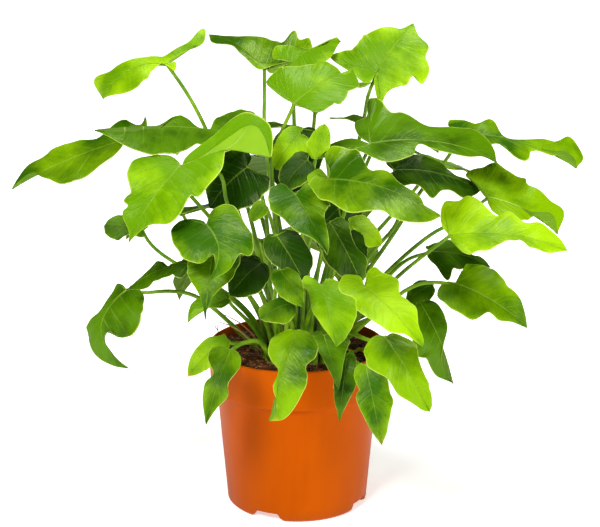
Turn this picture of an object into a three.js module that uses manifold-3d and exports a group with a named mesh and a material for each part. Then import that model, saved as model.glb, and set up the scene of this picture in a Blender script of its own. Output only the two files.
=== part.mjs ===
// Potted little hope philodendron: a nursery pot full of potting mix, with lobed leaves on long stalks.
// Millimetres, +Z up, origin on the pot's axis at the surface that the feet stand on, -Y towards the viewer.
import * as THREE from 'three';
import * as BufferGeometryUtils from 'three/addons/utils/BufferGeometryUtils.js';
import Module from 'manifold-3d';

const wasm = await Module();
wasm.setup();

// Corners nearer than this after a join become one.
const WELD = 0.012;

// Pot
const POT_HEIGHT = 130;
const RIM_RADIUS = 70;
const RIM_HEIGHT = 32;
const RIM_FOOT_RADIUS = 68.4;
const BODY_TOP_RADIUS = 64;
const BODY_FOOT_RADIUS = 55.5;
const CORNER = 2.5;
const WALL = 1.8;
const FOOT_HEIGHT = 7.5;
const FOOT_WALL = 5;
const FLOOR = 2;
const POT_SIDES = 34;
const FOOT_GAPS = 4;
const FOOT_GAP_WIDTH = 24;
const FIRST_GAP_AZIMUTH = THREE.MathUtils.degToRad(-26);
const DRAIN_HOLES = 6;
const DRAIN_RING = 34;
const DRAIN_RADIUS = 5;

// Potting mix
const MIX_GAP = 0.35;
const MIX_EDGE_HEIGHT = 123;
const MIX_CROWN_HEIGHT = 126;
const MIX_LUMP = 1.6;
const MIX_SIDES = 20;

// Leaf stalks and the holes they stand in
const STALK_FOOT_RADIUS = 2.1;
const STALK_TOP_RADIUS = 1.5;
const STALK_SIDES = 5;
const STALK_STEPS = 4;
const STALK_DEPTH = 12;
const STALK_GRIP = 0.12;
const HOLE_RADIUS = 3.1;
const FOOT_SPACING = 6.6;
const CROWN_INNER = 9;
const CROWN_OUTER = 36;

// Blades
const BLADE_THICKNESS = 0.8;
const MID_RING = 0.55;
const RIPPLE = 0.02;
const RIPPLES = 3;
const USUAL_FOLD = 0.1;
const USUAL_DROOP = 0.2;
const LOBE_RIB = 0.6;
const LOBE_FALL = 1.6;

const TONES = {
  light: 0x97bd1c,
  middle: 0x6fa412,
  dark: 0x4a7a10,
  sheen: 0x7fa548,
};
const POT_COLOUR = 0xd2600a;
const MIX_COLOUR = 0x3a2216;

// Leaves. base is where the stalk meets the blade, tip the blade's point, face the way its upper side looks.
// Outlines are fractions of the blade's length: how far from base to tip, then how far out from the midrib.
// lobe runs from the notch at the stalk round the basal lobe to the shoulder, edge from there to the tip.
// arch lifts the midrib, fold raises the halves, droop lowers the margins, sway bends the midrib to its left.
// via and foot steer the stalk: via names points from the blade down, foot the place where it leaves the mix.
const LEAVES = [
  {
    name: 'leaf_upper_left_curl', tone: 'light',
    base: [-101, 30, 348], tip: [-150, 20, 322], face: [-0.25, -0.45, 0.85],
    left: {
      lobe: [[-0.12, 0.04], [-0.04, 0.19], [0.03, 0.02]],
      edge: [[0.25, 0.19], [0.36, 0.32], [0.53, 0.47], [0.73, 0.32]],
    },
    right: {
      lobe: [[-0.23, 0.15], [-0.35, 0.21], [-0.61, 0.34], [-0.72, 0.63], [-0.38, 0.36], [-0.14, 0.25]],
      edge: [[0.14, 0.19], [0.45, 0.17], [0.72, 0.27], [0.98, 0.47]],
    },
    arch: 0.22, fold: 0, droop: 0, via: [[-86, 25, 327], [-71, 20, 299]],
  },
  {
    name: 'leaf_top_back', tone: 'sheen',
    base: [-26, 75, 336], tip: [-72, 115, 356], face: [0.1, -0.42, 0.9],
    left: {
      lobe: [[-0.12, 0.02], [-0.15, -0.23], [-0.11, -0.45]],
      edge: [[-0.01, 0.05], [0.27, 0.09], [0.51, 0.1], [0.77, 0.16]],
    },
    right: {
      lobe: [
        [-0.06, 0.29], [-0.09, 0.62], [-0.04, 0.82], [0.05, 0.87],
        [0.11, 0.73], [0.26, 0.77], [0.22, 0.53],
      ],
      edge: [[0.35, 0.41], [0.6, 0.15], [0.82, 0.05]],
    },
    arch: 0.1, fold: 0, droop: 0, via: [[-26, 70, 311], [-26, 60, 295]],
  },
  {
    name: 'leaf_top_middle_back', tone: 'light',
    base: [-4, 45, 346], tip: [35, 75, 358], face: [0, -0.35, 0.94],
    left: {
      lobe: [[-0.06, 0.15], [-0.11, 0.33], [0.02, 0.46], [0.2, 0.36]],
      edge: [[0.39, 0.02], [0.61, -0.05], [1.02, 0.13]],
    },
    right: {
      lobe: [[-0.15, -0.01], [-0.31, -0.04], [-0.33, 0.22]],
      edge: [[0.02, 0.41], [0.37, 0.43]],
    },
    arch: 0.1,
  },
  {
    name: 'leaf_top_middle_front', tone: 'light',
    base: [-2, -20, 327], tip: [43, 15, 346], face: [0.05, -0.5, 0.85],
    left: {
      lobe: [[-0.04, 0.15], [0, 0.54], [0.18, 0.56], [0.27, 0.53]],
      edge: [[0.54, 0.33], [0.73, 0.3], [0.8, 0.1], [0.81, -0.07]],
    },
    right: {
      lobe: [[0.01, 0.11], [0.11, 0.34], [0.28, 0.39]],
      edge: [[0.39, 0.44], [0.6, 0.36], [0.81, 0.32]],
    },
    arch: 0.1, via: [[-14, -18, 299], [-19, -14, 280]],
  },
  {
    name: 'leaf_left_upper_dark', tone: 'dark',
    base: [-54, 0, 301], tip: [-152, -30, 309], face: [-0.05, -0.33, 0.94],
    left: {
      lobe: [[-0.05, 0.09], [-0.09, 0.2], [0.06, 0.29], [0.18, 0.3]],
      edge: [[0.28, 0.27], [0.38, 0.31], [0.49, 0.4], [0.62, 0.4], [0.76, 0.28]],
    },
    right: {
      lobe: [[-0.14, 0.13], [-0.31, 0.29], [-0.32, 0.4], [-0.23, 0.44], [-0.09, 0.28], [0.04, 0.18]],
      edge: [[0.15, 0], [0.27, 0.16], [0.33, 0.15], [0.48, 0.01], [0.62, -0.15], [0.75, -0.11]],
    },
    arch: 0.04, fold: 0, droop: 0,
  },
  {
    name: 'leaf_top_right_big', tone: 'light',
    base: [63, 44, 339], tip: [92, 70, 373], face: [0.05, -0.62, 0.78],
    left: {
      lobe: [[-0.24, 0.03], [-0.21, 0.36], [-0.12, 0.79], [0.05, 0.63], [0.12, 0.51]],
      edge: [[0.33, 0.51], [0.46, 0.45], [0.69, 0.26], [0.79, 0.09]],
    },
    right: {
      lobe: [[-0.14, 0.03], [-0.43, 0.33], [-0.22, 0.32], [-0.06, 0.41]],
      edge: [
        [0.04, 0.51], [0.2, 0.53], [0.17, 0.68], [0.39, 0.71],
        [0.55, 0.52], [0.74, 0.45], [0.82, 0.22],
      ],
    },
    arch: 0.1, via: [[56, 46, 320], [53, 48, 301]],
  },
  {
    name: 'leaf_right_long', tone: 'dark',
    base: [56, -20, 296], tip: [153, -15, 281], face: [0, -0.33, 0.94],
    left: {
      lobe: [[-0.09, 0.14], [-0.11, 0.33], [-0.02, 0.42], [-0.01, 0.59], [0.03, 0.61], [0.13, 0.44]],
      edge: [[0.25, 0.41], [0.45, 0.22], [0.63, 0.25], [0.82, 0.32], [0.98, 0.2]],
    },
    right: {
      lobe: [
        [-0.14, -0.1], [-0.32, 0.01], [-0.42, 0.21], [-0.3, 0.15],
        [-0.18, 0.06], [-0.07, 0.12], [0.09, 0.23],
      ],
      edge: [[0.3, 0.2], [0.35, 0.06], [0.44, 0.1], [0.72, 0.13], [0.89, -0.01]],
    },
    arch: 0.1, fold: 0, droop: 0,
  },
  {
    name: 'leaf_far_right_wavy', tone: 'middle',
    base: [130, 40, 290], tip: [219, 24, 266], face: [0.1, -0.42, 0.9],
    left: {
      lobe: [[-0.07, 0.07], [-0.14, 0.12], [-0.13, 0.23], [-0.02, 0.2]],
      edge: [
        [0.11, 0.14], [0.21, 0.24], [0.38, 0.02], [0.64, 0.15],
        [0.75, 0.17], [0.88, 0.33], [1.03, 0.2],
      ],
    },
    right: {
      lobe: [[-0.01, 0.09], [0.08, 0.19], [0.2, 0.18]],
      edge: [
        [0.34, 0.14], [0.48, 0.27], [0.59, 0.2], [0.6, 0.06],
        [0.77, 0.03], [0.86, -0.13], [0.95, -0.11],
      ],
    },
    arch: 0.1, fold: 0, droop: 0, via: [[117, 34, 270], [97, 24, 247], [75, 12, 215]],
  },
  {
    name: 'leaf_right_middle_dark', tone: 'dark',
    base: [76, 15, 267], tip: [144, 15, 250], face: [0.05, -0.35, 0.93],
    left: {
      lobe: [[-0.1, 0.11], [-0.05, 0.21], [0.09, 0.25]],
      edge: [[0.25, 0.28], [0.51, 0.25], [0.64, 0.05], [0.86, 0.05]],
    },
    right: {
      lobe: [[-0.1, 0.19], [-0.03, 0.33], [0.08, 0.36]],
      edge: [[0.23, 0.33], [0.43, 0.49], [0.54, 0.32], [0.76, 0.36], [0.94, 0.12]],
    },
    arch: 0.1, via: [[79, 4, 231], [55, -8, 202]],
  },
  {
    name: 'leaf_right_middle_light', tone: 'middle',
    base: [147, -5, 250], tip: [200, -20, 225], face: [0.2, -0.4, 0.9],
    left: {
      lobe: [[-0.16, 0.16], [-0.41, 0.34], [-0.26, 0.6], [-0.16, 0.75]],
      edge: [[0.09, 0.69], [0.27, 0.68], [0.37, 0.52], [0.66, 0.48], [0.93, 0.44]],
    },
    right: {
      lobe: [[0.05, 0.14], [0.17, 0.26], [0.37, 0.32]],
      edge: [[0.55, 0.2], [0.66, -0.08], [0.82, -0.23]],
    },
    arch: 0.1, fold: 0, droop: 0, via: [[122, -10, 232], [104, -16, 224], [69, -24, 195]],
  },
  {
    name: 'leaf_centre_big', tone: 'sheen',
    base: [23, -104, 289], tip: [100, -152, 276], face: [0.05, -0.55, 0.83],
    left: {
      lobe: [[-0.02, 0.06], [-0.1, 0.15], [-0.2, 0.26], [-0.21, 0.36], [-0.06, 0.37]],
      edge: [[0.03, 0.39], [0.28, 0.19], [0.46, 0.17], [0.63, 0.06], [0.79, 0.06], [0.92, -0.03]],
    },
    right: {
      lobe: [[-0.07, -0.05], [-0.14, -0.07], [-0.19, 0.01], [-0.09, 0.13], [0.02, 0.23]],
      edge: [[0.18, 0.28], [0.43, 0.34], [0.66, 0.24], [0.76, 0.27], [0.89, 0.19], [0.96, 0.11]],
    },
    arch: 0.1, bend: [-8, -6, -10], foot: [-7, -26],
  },
  {
    name: 'leaf_right_bright', tone: 'light',
    base: [115, -45, 231], tip: [203, -60, 223], face: [0.1, -0.5, 0.85],
    left: {
      lobe: [[-0.07, 0.09], [-0.11, 0.26], [-0.08, 0.44], [0, 0.4], [0.08, 0.43]],
      edge: [[0.2, 0.4], [0.36, 0.21], [0.46, 0.27], [0.61, 0.13], [0.76, 0.19], [0.92, 0.1]],
    },
    right: {
      lobe: [[0.04, 0.09], [0.17, 0.23], [0.27, 0.21]],
      edge: [[0.38, 0.19], [0.48, 0.06], [0.58, 0.05], [0.7, 0.11], [0.85, 0.09]],
    },
    arch: 0.1, via: [[94, -38, 211], [77, -32, 194]],
  },
  {
    name: 'leaf_centre_small', tone: 'light',
    base: [40, -58, 243], tip: [63, -70, 230], face: [0, -0.6, 0.8],
    left: { lobe: [[-0.15, 0.11], [-0.02, 0.36], [0.21, 0.42]], edge: [[0.55, 0.31], [0.89, 0.16]] },
    right: { lobe: [[-0.04, 0.14], [0.11, 0.18], [0.24, 0.09]], edge: [[0.48, 0.12], [0.75, 0.31]] },
    arch: 0.1,
  },
  {
    name: 'leaf_centre_dark', tone: 'dark',
    base: [25, -62, 246], tip: [48, -78, 203], face: [0, -0.8, 0.6],
    left: {
      lobe: [[0, 0.16], [0.12, 0.22], [0.26, 0.18]],
      edge: [[0.47, 0.16], [0.71, 0.22], [0.88, 0.13]],
    },
    right: { lobe: [[-0.01, 0.1], [0.1, 0.28], [0.31, 0.33]], edge: [[0.58, 0.32], [0.84, 0.2]] },
    arch: 0.1,
  },
  {
    name: 'leaf_centre_arrow', tone: 'middle',
    base: [-1, -93, 275], tip: [22, -131, 240], face: [0, -0.75, 0.66],
    left: {
      lobe: [[-0.03, 0.05], [-0.09, 0.21], [0.1, 0.28], [0.4, 0.3]],
      edge: [[0.46, 0.21], [0.71, 0.13], [0.9, 0.07]],
    },
    right: {
      lobe: [[-0.15, 0.01], [-0.27, 0.08], [-0.26, 0.23], [-0.11, 0.33]],
      edge: [[0.08, 0.39], [0.34, 0.3], [0.52, 0.27], [0.77, 0.08], [0.91, 0.02]],
    },
    arch: 0.1, fold: 0.15,
  },
  {
    name: 'leaf_lower_centre_light', tone: 'light',
    base: [18, -93, 206], tip: [29, -115, 166], face: [0, -0.8, 0.6],
    left: {
      lobe: [[-0.08, 0.11], [-0.03, 0.25], [0.12, 0.42], [0.34, 0.49]],
      edge: [[0.53, 0.44], [0.74, 0.33], [0.91, 0.17]],
    },
    right: {
      lobe: [[-0.11, 0.06], [-0.22, 0.19], [-0.08, 0.29]],
      edge: [[0.06, 0.23], [0.37, 0.24], [0.67, 0.14], [0.86, 0.05]],
    },
    arch: 0.1,
  },
  {
    name: 'leaf_lower_right_light', tone: 'light',
    base: [48, -157, 224], tip: [87, -192, 192], face: [0.1, -0.7, 0.7],
    left: {
      lobe: [[-0.07, 0.08], [-0.15, 0.17], [-0.16, 0.27], [-0.05, 0.28]],
      edge: [[0.17, 0.34], [0.36, 0.22], [0.49, 0.23], [0.62, 0.22], [0.79, 0.12], [0.95, 0.06]],
    },
    right: {
      lobe: [[-0.08, -0.04], [-0.19, -0.06], [-0.3, 0.06], [-0.23, 0.19], [-0.11, 0.25]],
      edge: [[0.05, 0.19], [0.19, 0.29], [0.5, 0.24], [0.65, 0.23], [0.79, 0.08], [0.92, 0.03]],
    },
    arch: 0.1, bend: [20, 4, 0],
  },
  {
    name: 'leaf_right_low', tone: 'middle',
    base: [121, -45, 193], tip: [175, -60, 162], face: [0.1, -0.65, 0.75],
    left: {
      lobe: [[-0.02, 0.11], [-0.02, 0.22], [-0.02, 0.32], [0.09, 0.36]],
      edge: [[0.24, 0.4], [0.43, 0.36], [0.51, 0.28], [0.74, 0.23], [0.88, 0.13]],
    },
    right: {
      lobe: [[-0.09, 0.02], [-0.14, 0.12], [-0.11, 0.28], [-0.02, 0.35]],
      edge: [[0.18, 0.38], [0.4, 0.36], [0.52, 0.18], [0.64, 0.2], [0.8, 0.09]],
    },
    arch: 0.1, via: [[100, -46, 194], [86, -44, 189]],
  },
  {
    name: 'leaf_right_low_back', tone: 'dark',
    base: [104, 5, 204], tip: [153, 12, 189], face: [0.05, -0.5, 0.86],
    left: {
      lobe: [[-0.07, 0.07], [0.06, 0.19], [0.28, 0.23]],
      edge: [[0.53, 0.13], [0.67, 0.06], [0.86, 0.08]],
    },
    right: {
      lobe: [[-0.05, 0.16], [0.06, 0.28], [0.26, 0.59], [0.34, 0.32]],
      edge: [[0.52, 0.28], [0.74, 0.2]],
    },
    arch: 0.1, via: [[84, 0, 197]],
  },
  {
    name: 'leaf_right_small', tone: 'middle',
    base: [107, 12, 175], tip: [85, 6, 160], face: [0, -0.6, 0.8],
    left: { lobe: [[0.05, 0.22], [0.36, 0.42]], edge: [[0.78, 0.3]] },
    right: { lobe: [[0.02, 0.18], [0.34, 0.32]], edge: [[0.67, 0.26]] },
    arch: 0.1,
  },
  {
    name: 'leaf_right_hanging', tone: 'dark',
    base: [96, -20, 169], tip: [121, -34, 108], face: [0.35, -0.75, 0.55],
    left: {
      lobe: [[-0.02, 0.06], [0, 0.13], [0.07, 0.18]],
      edge: [[0.22, 0.2], [0.37, 0.17], [0.63, -0.06], [0.84, -0.07]],
    },
    right: {
      lobe: [[-0.03, 0.04], [0.02, 0.1], [0.13, 0.21]],
      edge: [[0.31, 0.33], [0.52, 0.35], [0.59, 0.27], [0.81, 0.2]],
    },
    arch: 0.1,
  },
  {
    name: 'leaf_front_right', tone: 'middle',
    base: [64, -131, 179], tip: [95, -157, 131], face: [0.1, -0.85, 0.5],
    left: {
      lobe: [[0, 0.09], [0.11, 0.19], [0.25, 0.25]],
      edge: [[0.4, 0.19], [0.67, 0.15], [0.81, 0.11], [0.95, 0.06]],
    },
    right: {
      lobe: [[-0.05, 0.05], [-0.06, 0.16], [0.01, 0.29], [0.12, 0.35]],
      edge: [[0.26, 0.36], [0.44, 0.25], [0.67, 0.24], [0.83, 0.14], [0.96, 0.06]],
    },
    arch: 0.1,
  },
  {
    name: 'leaf_front_right_low', tone: 'middle',
    base: [51, -99, 146], tip: [63, -115, 89], face: [0, -0.92, 0.4],
    left: {
      lobe: [[-0.02, 0.07], [0.13, 0.18], [0.22, 0.23]],
      edge: [[0.35, 0.22], [0.49, 0.24], [0.67, 0.16], [0.85, 0.09]],
    },
    right: {
      lobe: [[-0.04, 0.05], [0.02, 0.14], [0.16, 0.17]],
      edge: [[0.27, 0.14], [0.36, 0.2], [0.61, 0.15], [0.83, 0.08]],
    },
    arch: 0.1,
  },
  {
    name: 'leaf_front_narrow_upper', tone: 'dark',
    base: [20, -86, 165], tip: [31, -99, 126], face: [0.1, -0.85, 0.5],
    left: {
      lobe: [[-0.03, 0.12], [0.09, 0.3], [0.21, 0.41]],
      edge: [[0.33, 0.32], [0.6, 0.17], [0.83, 0.08]],
    },
    right: {
      lobe: [[-0.1, 0.06], [-0.09, 0.17], [0.06, 0.16]],
      edge: [[0.22, 0.16], [0.47, 0.12], [0.76, 0.05]],
    },
    arch: 0.1,
  },
  {
    name: 'leaf_front_narrow_lower', tone: 'dark',
    base: [38, -83, 149], tip: [32, -93, 98], face: [-0.1, -0.9, 0.45],
    left: {
      lobe: [[-0.07, 0.04], [0.01, 0.11]],
      edge: [[0.14, 0.16], [0.43, 0.18], [0.6, 0.12], [0.82, 0.04]],
    },
    right: { lobe: [[0, 0.07], [0.15, 0.14]], edge: [[0.48, 0.13], [0.63, 0.11], [0.82, 0.05]] },
    arch: 0.1,
  },
  {
    name: 'leaf_front_centre', tone: 'middle',
    base: [-1, -118, 179], tip: [-20, -147, 120], face: [-0.05, -0.88, 0.47],
    left: {
      lobe: [[-0.02, 0.03], [-0.03, 0.11], [0.01, 0.21], [0.09, 0.28]],
      edge: [[0.22, 0.3], [0.34, 0.23], [0.46, 0.28], [0.63, 0.27], [0.93, 0.15]],
    },
    right: {
      lobe: [[0, 0.06], [0.03, 0.11], [0.12, 0.2], [0.24, 0.23]],
      edge: [[0.38, 0.16], [0.46, 0.05], [0.64, 0.05], [0.79, -0.03], [0.92, -0.06]],
    },
    arch: 0.1,
  },
  {
    name: 'leaf_front_left_yellow', tone: 'light',
    base: [-53, -68, 156], tip: [-82, -86, 132], face: [-0.2, -0.75, 0.6],
    left: { lobe: [[-0.02, 0.07], [0.16, 0.19]], edge: [[0.59, 0.2], [0.84, 0.13]] },
    right: { lobe: [[-0.04, 0.11], [0.08, 0.16]], edge: [[0.28, 0.26], [0.56, 0.23], [0.86, 0.11]] },
    arch: 0.1,
  },
  {
    name: 'leaf_front_left', tone: 'middle',
    base: [-49, -96, 157], tip: [-67, -118, 106], face: [-0.15, -0.88, 0.45],
    left: {
      lobe: [[-0.01, 0.07], [0.07, 0.17], [0.21, 0.2]],
      edge: [[0.43, 0.13], [0.57, 0.18], [0.77, 0.08]],
    },
    right: {
      lobe: [[-0.02, 0.12], [0.05, 0.24], [0.19, 0.23]],
      edge: [[0.36, 0.1], [0.49, 0.16], [0.68, 0.13], [0.89, 0.05]],
    },
    arch: 0.1, via: [[-40, -86, 159], [-30, -72, 156]],
  },
  {
    name: 'leaf_left_low_dark', tone: 'dark',
    base: [-132, -20, 180], tip: [-130, -35, 121], face: [-0.4, -0.7, 0.6],
    left: {
      lobe: [[-0.06, 0.07], [-0.02, 0.18], [0.09, 0.28], [0.2, 0.29]],
      edge: [[0.32, 0.27], [0.56, 0.12], [0.6, -0.07], [0.51, -0.2], [0.62, -0.29], [0.86, -0.15]],
    },
    right: {
      lobe: [[-0.06, 0.06], [-0.08, 0.16], [0.1, 0.26]],
      edge: [[0.28, 0.36], [0.45, 0.56], [0.55, 0.56], [0.76, 0.51], [0.89, 0.38], [0.97, 0.21]],
    },
    arch: 0.1, sway: -0.33, via: [[-120, -20, 178], [-97, -20, 179], [-78, -21, 175]],
  },
  {
    name: 'leaf_left_narrow', tone: 'dark',
    base: [-82, -40, 208], tip: [-130, -45, 188], face: [-0.1, -0.5, 0.86],
    left: { lobe: [[0.05, 0.16], [0.2, 0.28]], edge: [[0.3, 0.18], [0.51, 0.16], [0.7, 0.2]] },
    right: { lobe: [[-0.01, 0.11], [0.12, 0.04]], edge: [[0.28, 0.02], [0.37, 0.15], [0.61, 0.08]] },
    arch: 0.1,
  },
  {
    name: 'leaf_left_small_dark', tone: 'dark',
    base: [-119, -5, 224], tip: [-149, -12, 229], face: [-0.1, -0.6, 0.8],
    left: { lobe: [[-0.06, 0.15], [0.16, 0.29]], edge: [[0.45, 0.3], [0.7, 0.49], [0.95, 0.26]] },
    right: { lobe: [[-0.13, 0.15], [0, 0.28]], edge: [[0.27, 0.35], [0.55, 0.32], [0.87, 0.2]] },
    arch: 0.1,
  },
  {
    name: 'leaf_left_long', tone: 'sheen',
    base: [-121, 30, 291], tip: [-224, 25, 249], face: [-0.1, -0.33, 0.93],
    left: {
      lobe: [[-0.06, 0.13], [-0.01, 0.22], [0.05, 0.16]],
      edge: [[0.11, 0.08], [0.3, 0.21], [0.49, 0.29], [0.59, 0.32], [0.73, 0.13], [0.84, -0.04]],
    },
    right: {
      lobe: [[-0.05, 0.05], [-0.05, 0.18], [-0.01, 0.13], [0.05, 0.15]],
      edge: [[0.11, 0.22], [0.32, 0.15], [0.53, 0.17], [0.67, 0.18], [0.86, 0.16]],
    },
    arch: 0.05,
  },
  {
    name: 'leaf_left_bright', tone: 'light',
    base: [-85, -65, 290], tip: [-123, -96, 239], face: [-0.1, -0.55, 0.83],
    left: {
      lobe: [
        [-0.09, -0.02], [-0.41, 0.07], [-0.71, 0.14], [-0.87, 0.25], [-0.89, 0.43], [-0.79, 0.62],
        [-0.53, 0.8], [-0.7, 0.6], [-0.74, 0.4], [-0.64, 0.3], [-0.4, 0.3], [-0.17, 0.42],
      ],
      edge: [
        [0.04, 0.44], [0.24, 0.43], [0.26, 0.36], [0.51, 0.4],
        [0.64, 0.34], [0.74, 0.14], [0.88, 0.05],
      ],
    },
    right: {
      lobe: [[-0.03, 0.08], [-0.03, 0.18], [0.09, 0.41], [0.19, 0.49], [0.36, 0.44]],
      edge: [[0.53, 0.26], [0.63, 0.29], [0.68, 0.2], [0.77, 0.2], [0.9, 0.05]],
    },
    arch: 0.1, droop: 0.1, via: [[-58, -58, 283], [-52, -50, 257]],
  },
  {
    name: 'leaf_left_heart', tone: 'middle',
    base: [-66, -88, 251], tip: [-63, -115, 216], face: [0, -0.72, 0.7],
    left: {
      lobe: [[-0.16, 0.05], [-0.31, 0.16], [-0.37, 0.34], [-0.29, 0.5]],
      edge: [[0.15, 0.69], [0.38, 0.76], [0.63, 0.68], [0.59, 0.54], [0.82, 0.35], [0.93, 0.16]],
    },
    right: {
      lobe: [[-0.07, 0.05], [-0.13, 0.32], [-0.07, 0.5], [0.1, 0.61]],
      edge: [[0.34, 0.56], [0.57, 0.43], [0.71, 0.14], [0.57, -0.08], [0.75, -0.1], [0.89, -0.05]],
    },
    arch: 0.1, sway: 0.18, bend: [4, -10, 0],
  },
  {
    name: 'leaf_left_under_heart', tone: 'middle',
    base: [-62, -80, 225], tip: [-67, -106, 183], face: [-0.1, -0.8, 0.6],
    left: {
      lobe: [[-0.1, 0.11], [-0.15, 0.3], [-0.04, 0.42]],
      edge: [[0.15, 0.4], [0.38, 0.32], [0.59, 0.13], [0.78, 0.03]],
    },
    right: {
      lobe: [[-0.07, 0.13], [-0.05, 0.28], [0.05, 0.35]],
      edge: [[0.24, 0.35], [0.39, 0.3], [0.56, 0.17], [0.74, 0.07]],
    },
    arch: 0.1,
  },
  {
    name: 'leaf_left_yellow_small', tone: 'light',
    base: [-53, -42, 180], tip: [-83, -55, 165], face: [-0.1, -0.6, 0.8],
    left: { lobe: [[0.01, 0.12], [0.24, 0.19]], edge: [[0.52, -0.01], [0.74, -0.13]] },
    right: { lobe: [[-0.1, 0.11], [0.01, 0.24]], edge: [[0.31, 0.27], [0.57, 0.33], [0.81, 0.23]] },
    arch: 0.1,
  },
  {
    name: 'leaf_inner_left_dark', tone: 'dark',
    base: [-38, -26, 279], tip: [-66, -30, 248], face: [-0.1, -0.6, 0.8],
    left: { lobe: [[-0.04, 0.25], [-0.17, 0.52], [0.08, 0.7]], edge: [[0.52, 0.63], [0.83, 0.35]] },
    right: { lobe: [[-0.19, 0.07], [-0.16, 0.41], [0.12, 0.62]], edge: [[0.45, 0.56], [0.77, 0.36]] },
    arch: 0.1,
  },
  {
    name: 'leaf_inner_top_yellow', tone: 'light',
    base: [2, -30, 306], tip: [-16, -45, 282], face: [-0.1, -0.6, 0.8],
    left: { lobe: [[0, 0.21], [0.08, 0.46], [0.41, 0.53]], edge: [[0.69, 0.42], [0.93, 0.26]] },
    right: { lobe: [[-0.17, 0.02], [-0.13, 0.24], [0.09, 0.35]], edge: [[0.48, 0.32], [0.82, 0.2]] },
    arch: 0.1,
  },
  {
    name: 'leaf_inner_top_dark', tone: 'dark',
    base: [8, -52, 291], tip: [-9, -66, 274], face: [-0.1, -0.6, 0.8],
    left: { lobe: [[0.05, 0.27], [0.35, 0.52], [0.62, 0.45]], edge: [[0.84, 0.35], [1.01, 0.19]] },
    right: { lobe: [[-0.18, 0.1], [-0.12, 0.36], [0.21, 0.43]], edge: [[0.62, 0.4], [0.93, 0.24]] },
    arch: 0.1,
  },
  {
    name: 'leaf_inner_new', tone: 'light',
    base: [14, -46, 290], tip: [21, -40, 316], face: [0.1, -0.9, 0.4],
    left: { lobe: [[0.05, 0.17], [0.29, 0.35]], edge: [[0.64, 0.27], [0.9, 0.14]] },
    right: { lobe: [[0.19, 0.13], [0.39, 0.27]], edge: [[0.69, 0.24], [0.91, 0.13]] },
    arch: 0.1,
  },
  {
    name: 'leaf_inner_small', tone: 'middle',
    base: [-24, -55, 258], tip: [-34, -62, 246], face: [-0.1, -0.6, 0.8],
    left: { lobe: [[0.09, 0.28], [0.35, 0.44]], edge: [[0.65, 0.33], [0.86, 0.2]] },
    right: { lobe: [[-0.1, 0.23], [0.13, 0.37]], edge: [[0.55, 0.37], [0.83, 0.22]] },
    arch: 0.1,
  },
  {
    name: 'leaf_middle_hanging_dark', tone: 'dark',
    base: [-15, -78, 240], tip: [5, -88, 208], face: [0, -0.75, 0.66],
    left: { lobe: [[-0.04, 0.15], [0.13, 0.35], [0.41, 0.39]], edge: [[0.7, 0.37], [0.92, 0.19]] },
    right: { lobe: [[-0.1, 0.11], [0.01, 0.31], [0.26, 0.39]], edge: [[0.55, 0.32], [0.83, 0.19]] },
    arch: 0.1,
  },
  {
    name: 'leaf_middle_left_dark', tone: 'dark',
    base: [-26, -62, 215], tip: [-50, -76, 193], face: [-0.1, -0.7, 0.7],
    left: { lobe: [[-0.01, 0.17], [0.19, 0.4], [0.44, 0.48]], edge: [[0.71, 0.4], [0.91, 0.23]] },
    right: { lobe: [[-0.03, 0.18], [0.16, 0.37], [0.47, 0.35]], edge: [[0.74, 0.25], [0.91, 0.13]] },
    arch: 0.1,
  },
  {
    name: 'leaf_middle_yellow_tip', tone: 'middle',
    base: [-12, -107, 222], tip: [5, -125, 200], face: [0, -0.75, 0.66],
    left: { lobe: [[0.02, 0.16], [0.26, 0.27], [0.53, 0.24]], edge: [[0.74, 0.16], [0.89, 0.08]] },
    right: { lobe: [[-0.09, 0.1], [0.07, 0.28], [0.33, 0.35]], edge: [[0.64, 0.31], [0.86, 0.16]] },
    arch: 0.1, bend: [-5, 0, 0], foot: [-15, -31],
  },
  {
    name: 'leaf_middle_olive', tone: 'middle',
    base: [-4, -93, 192], tip: [-27, -115, 187], face: [0, -0.55, 0.83],
    left: { lobe: [[0.03, 0.18], [0.35, 0.43]], edge: [[0.68, 0.46], [0.92, 0.25]] },
    right: { lobe: [[-0.12, 0.17], [0.15, 0.24]], edge: [[0.53, 0.25], [0.83, 0.22]] },
    arch: 0.1,
  },
  {
    name: 'leaf_inner_shade_right', tone: 'dark',
    base: [32, 22, 239], tip: [43, 2, 178], face: [0.05, -0.85, 0.5],
    left: {
      lobe: [[-0.01, 0.13], [0.14, 0.24], [0.33, 0.28]],
      edge: [[0.58, 0.26], [0.77, 0.21], [0.92, 0.11]],
    },
    right: {
      lobe: [[-0.07, 0.13], [0, 0.29], [0.18, 0.39]],
      edge: [[0.4, 0.38], [0.64, 0.26], [0.86, 0.13]],
    },
    arch: 0.1, bend: [5, 3, 0],
  },
  {
    name: 'leaf_inner_shade_top', tone: 'dark',
    base: [2, 6, 302], tip: [-7, -6, 252], face: [0, -0.85, 0.5],
    left: { lobe: [[-0.05, 0.18], [0.07, 0.34], [0.26, 0.42]], edge: [[0.52, 0.4], [0.81, 0.26]] },
    right: { lobe: [[-0.01, 0.17], [0.14, 0.31], [0.36, 0.37]], edge: [[0.61, 0.34], [0.85, 0.21]] },
    arch: 0.1,
  },
];

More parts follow.
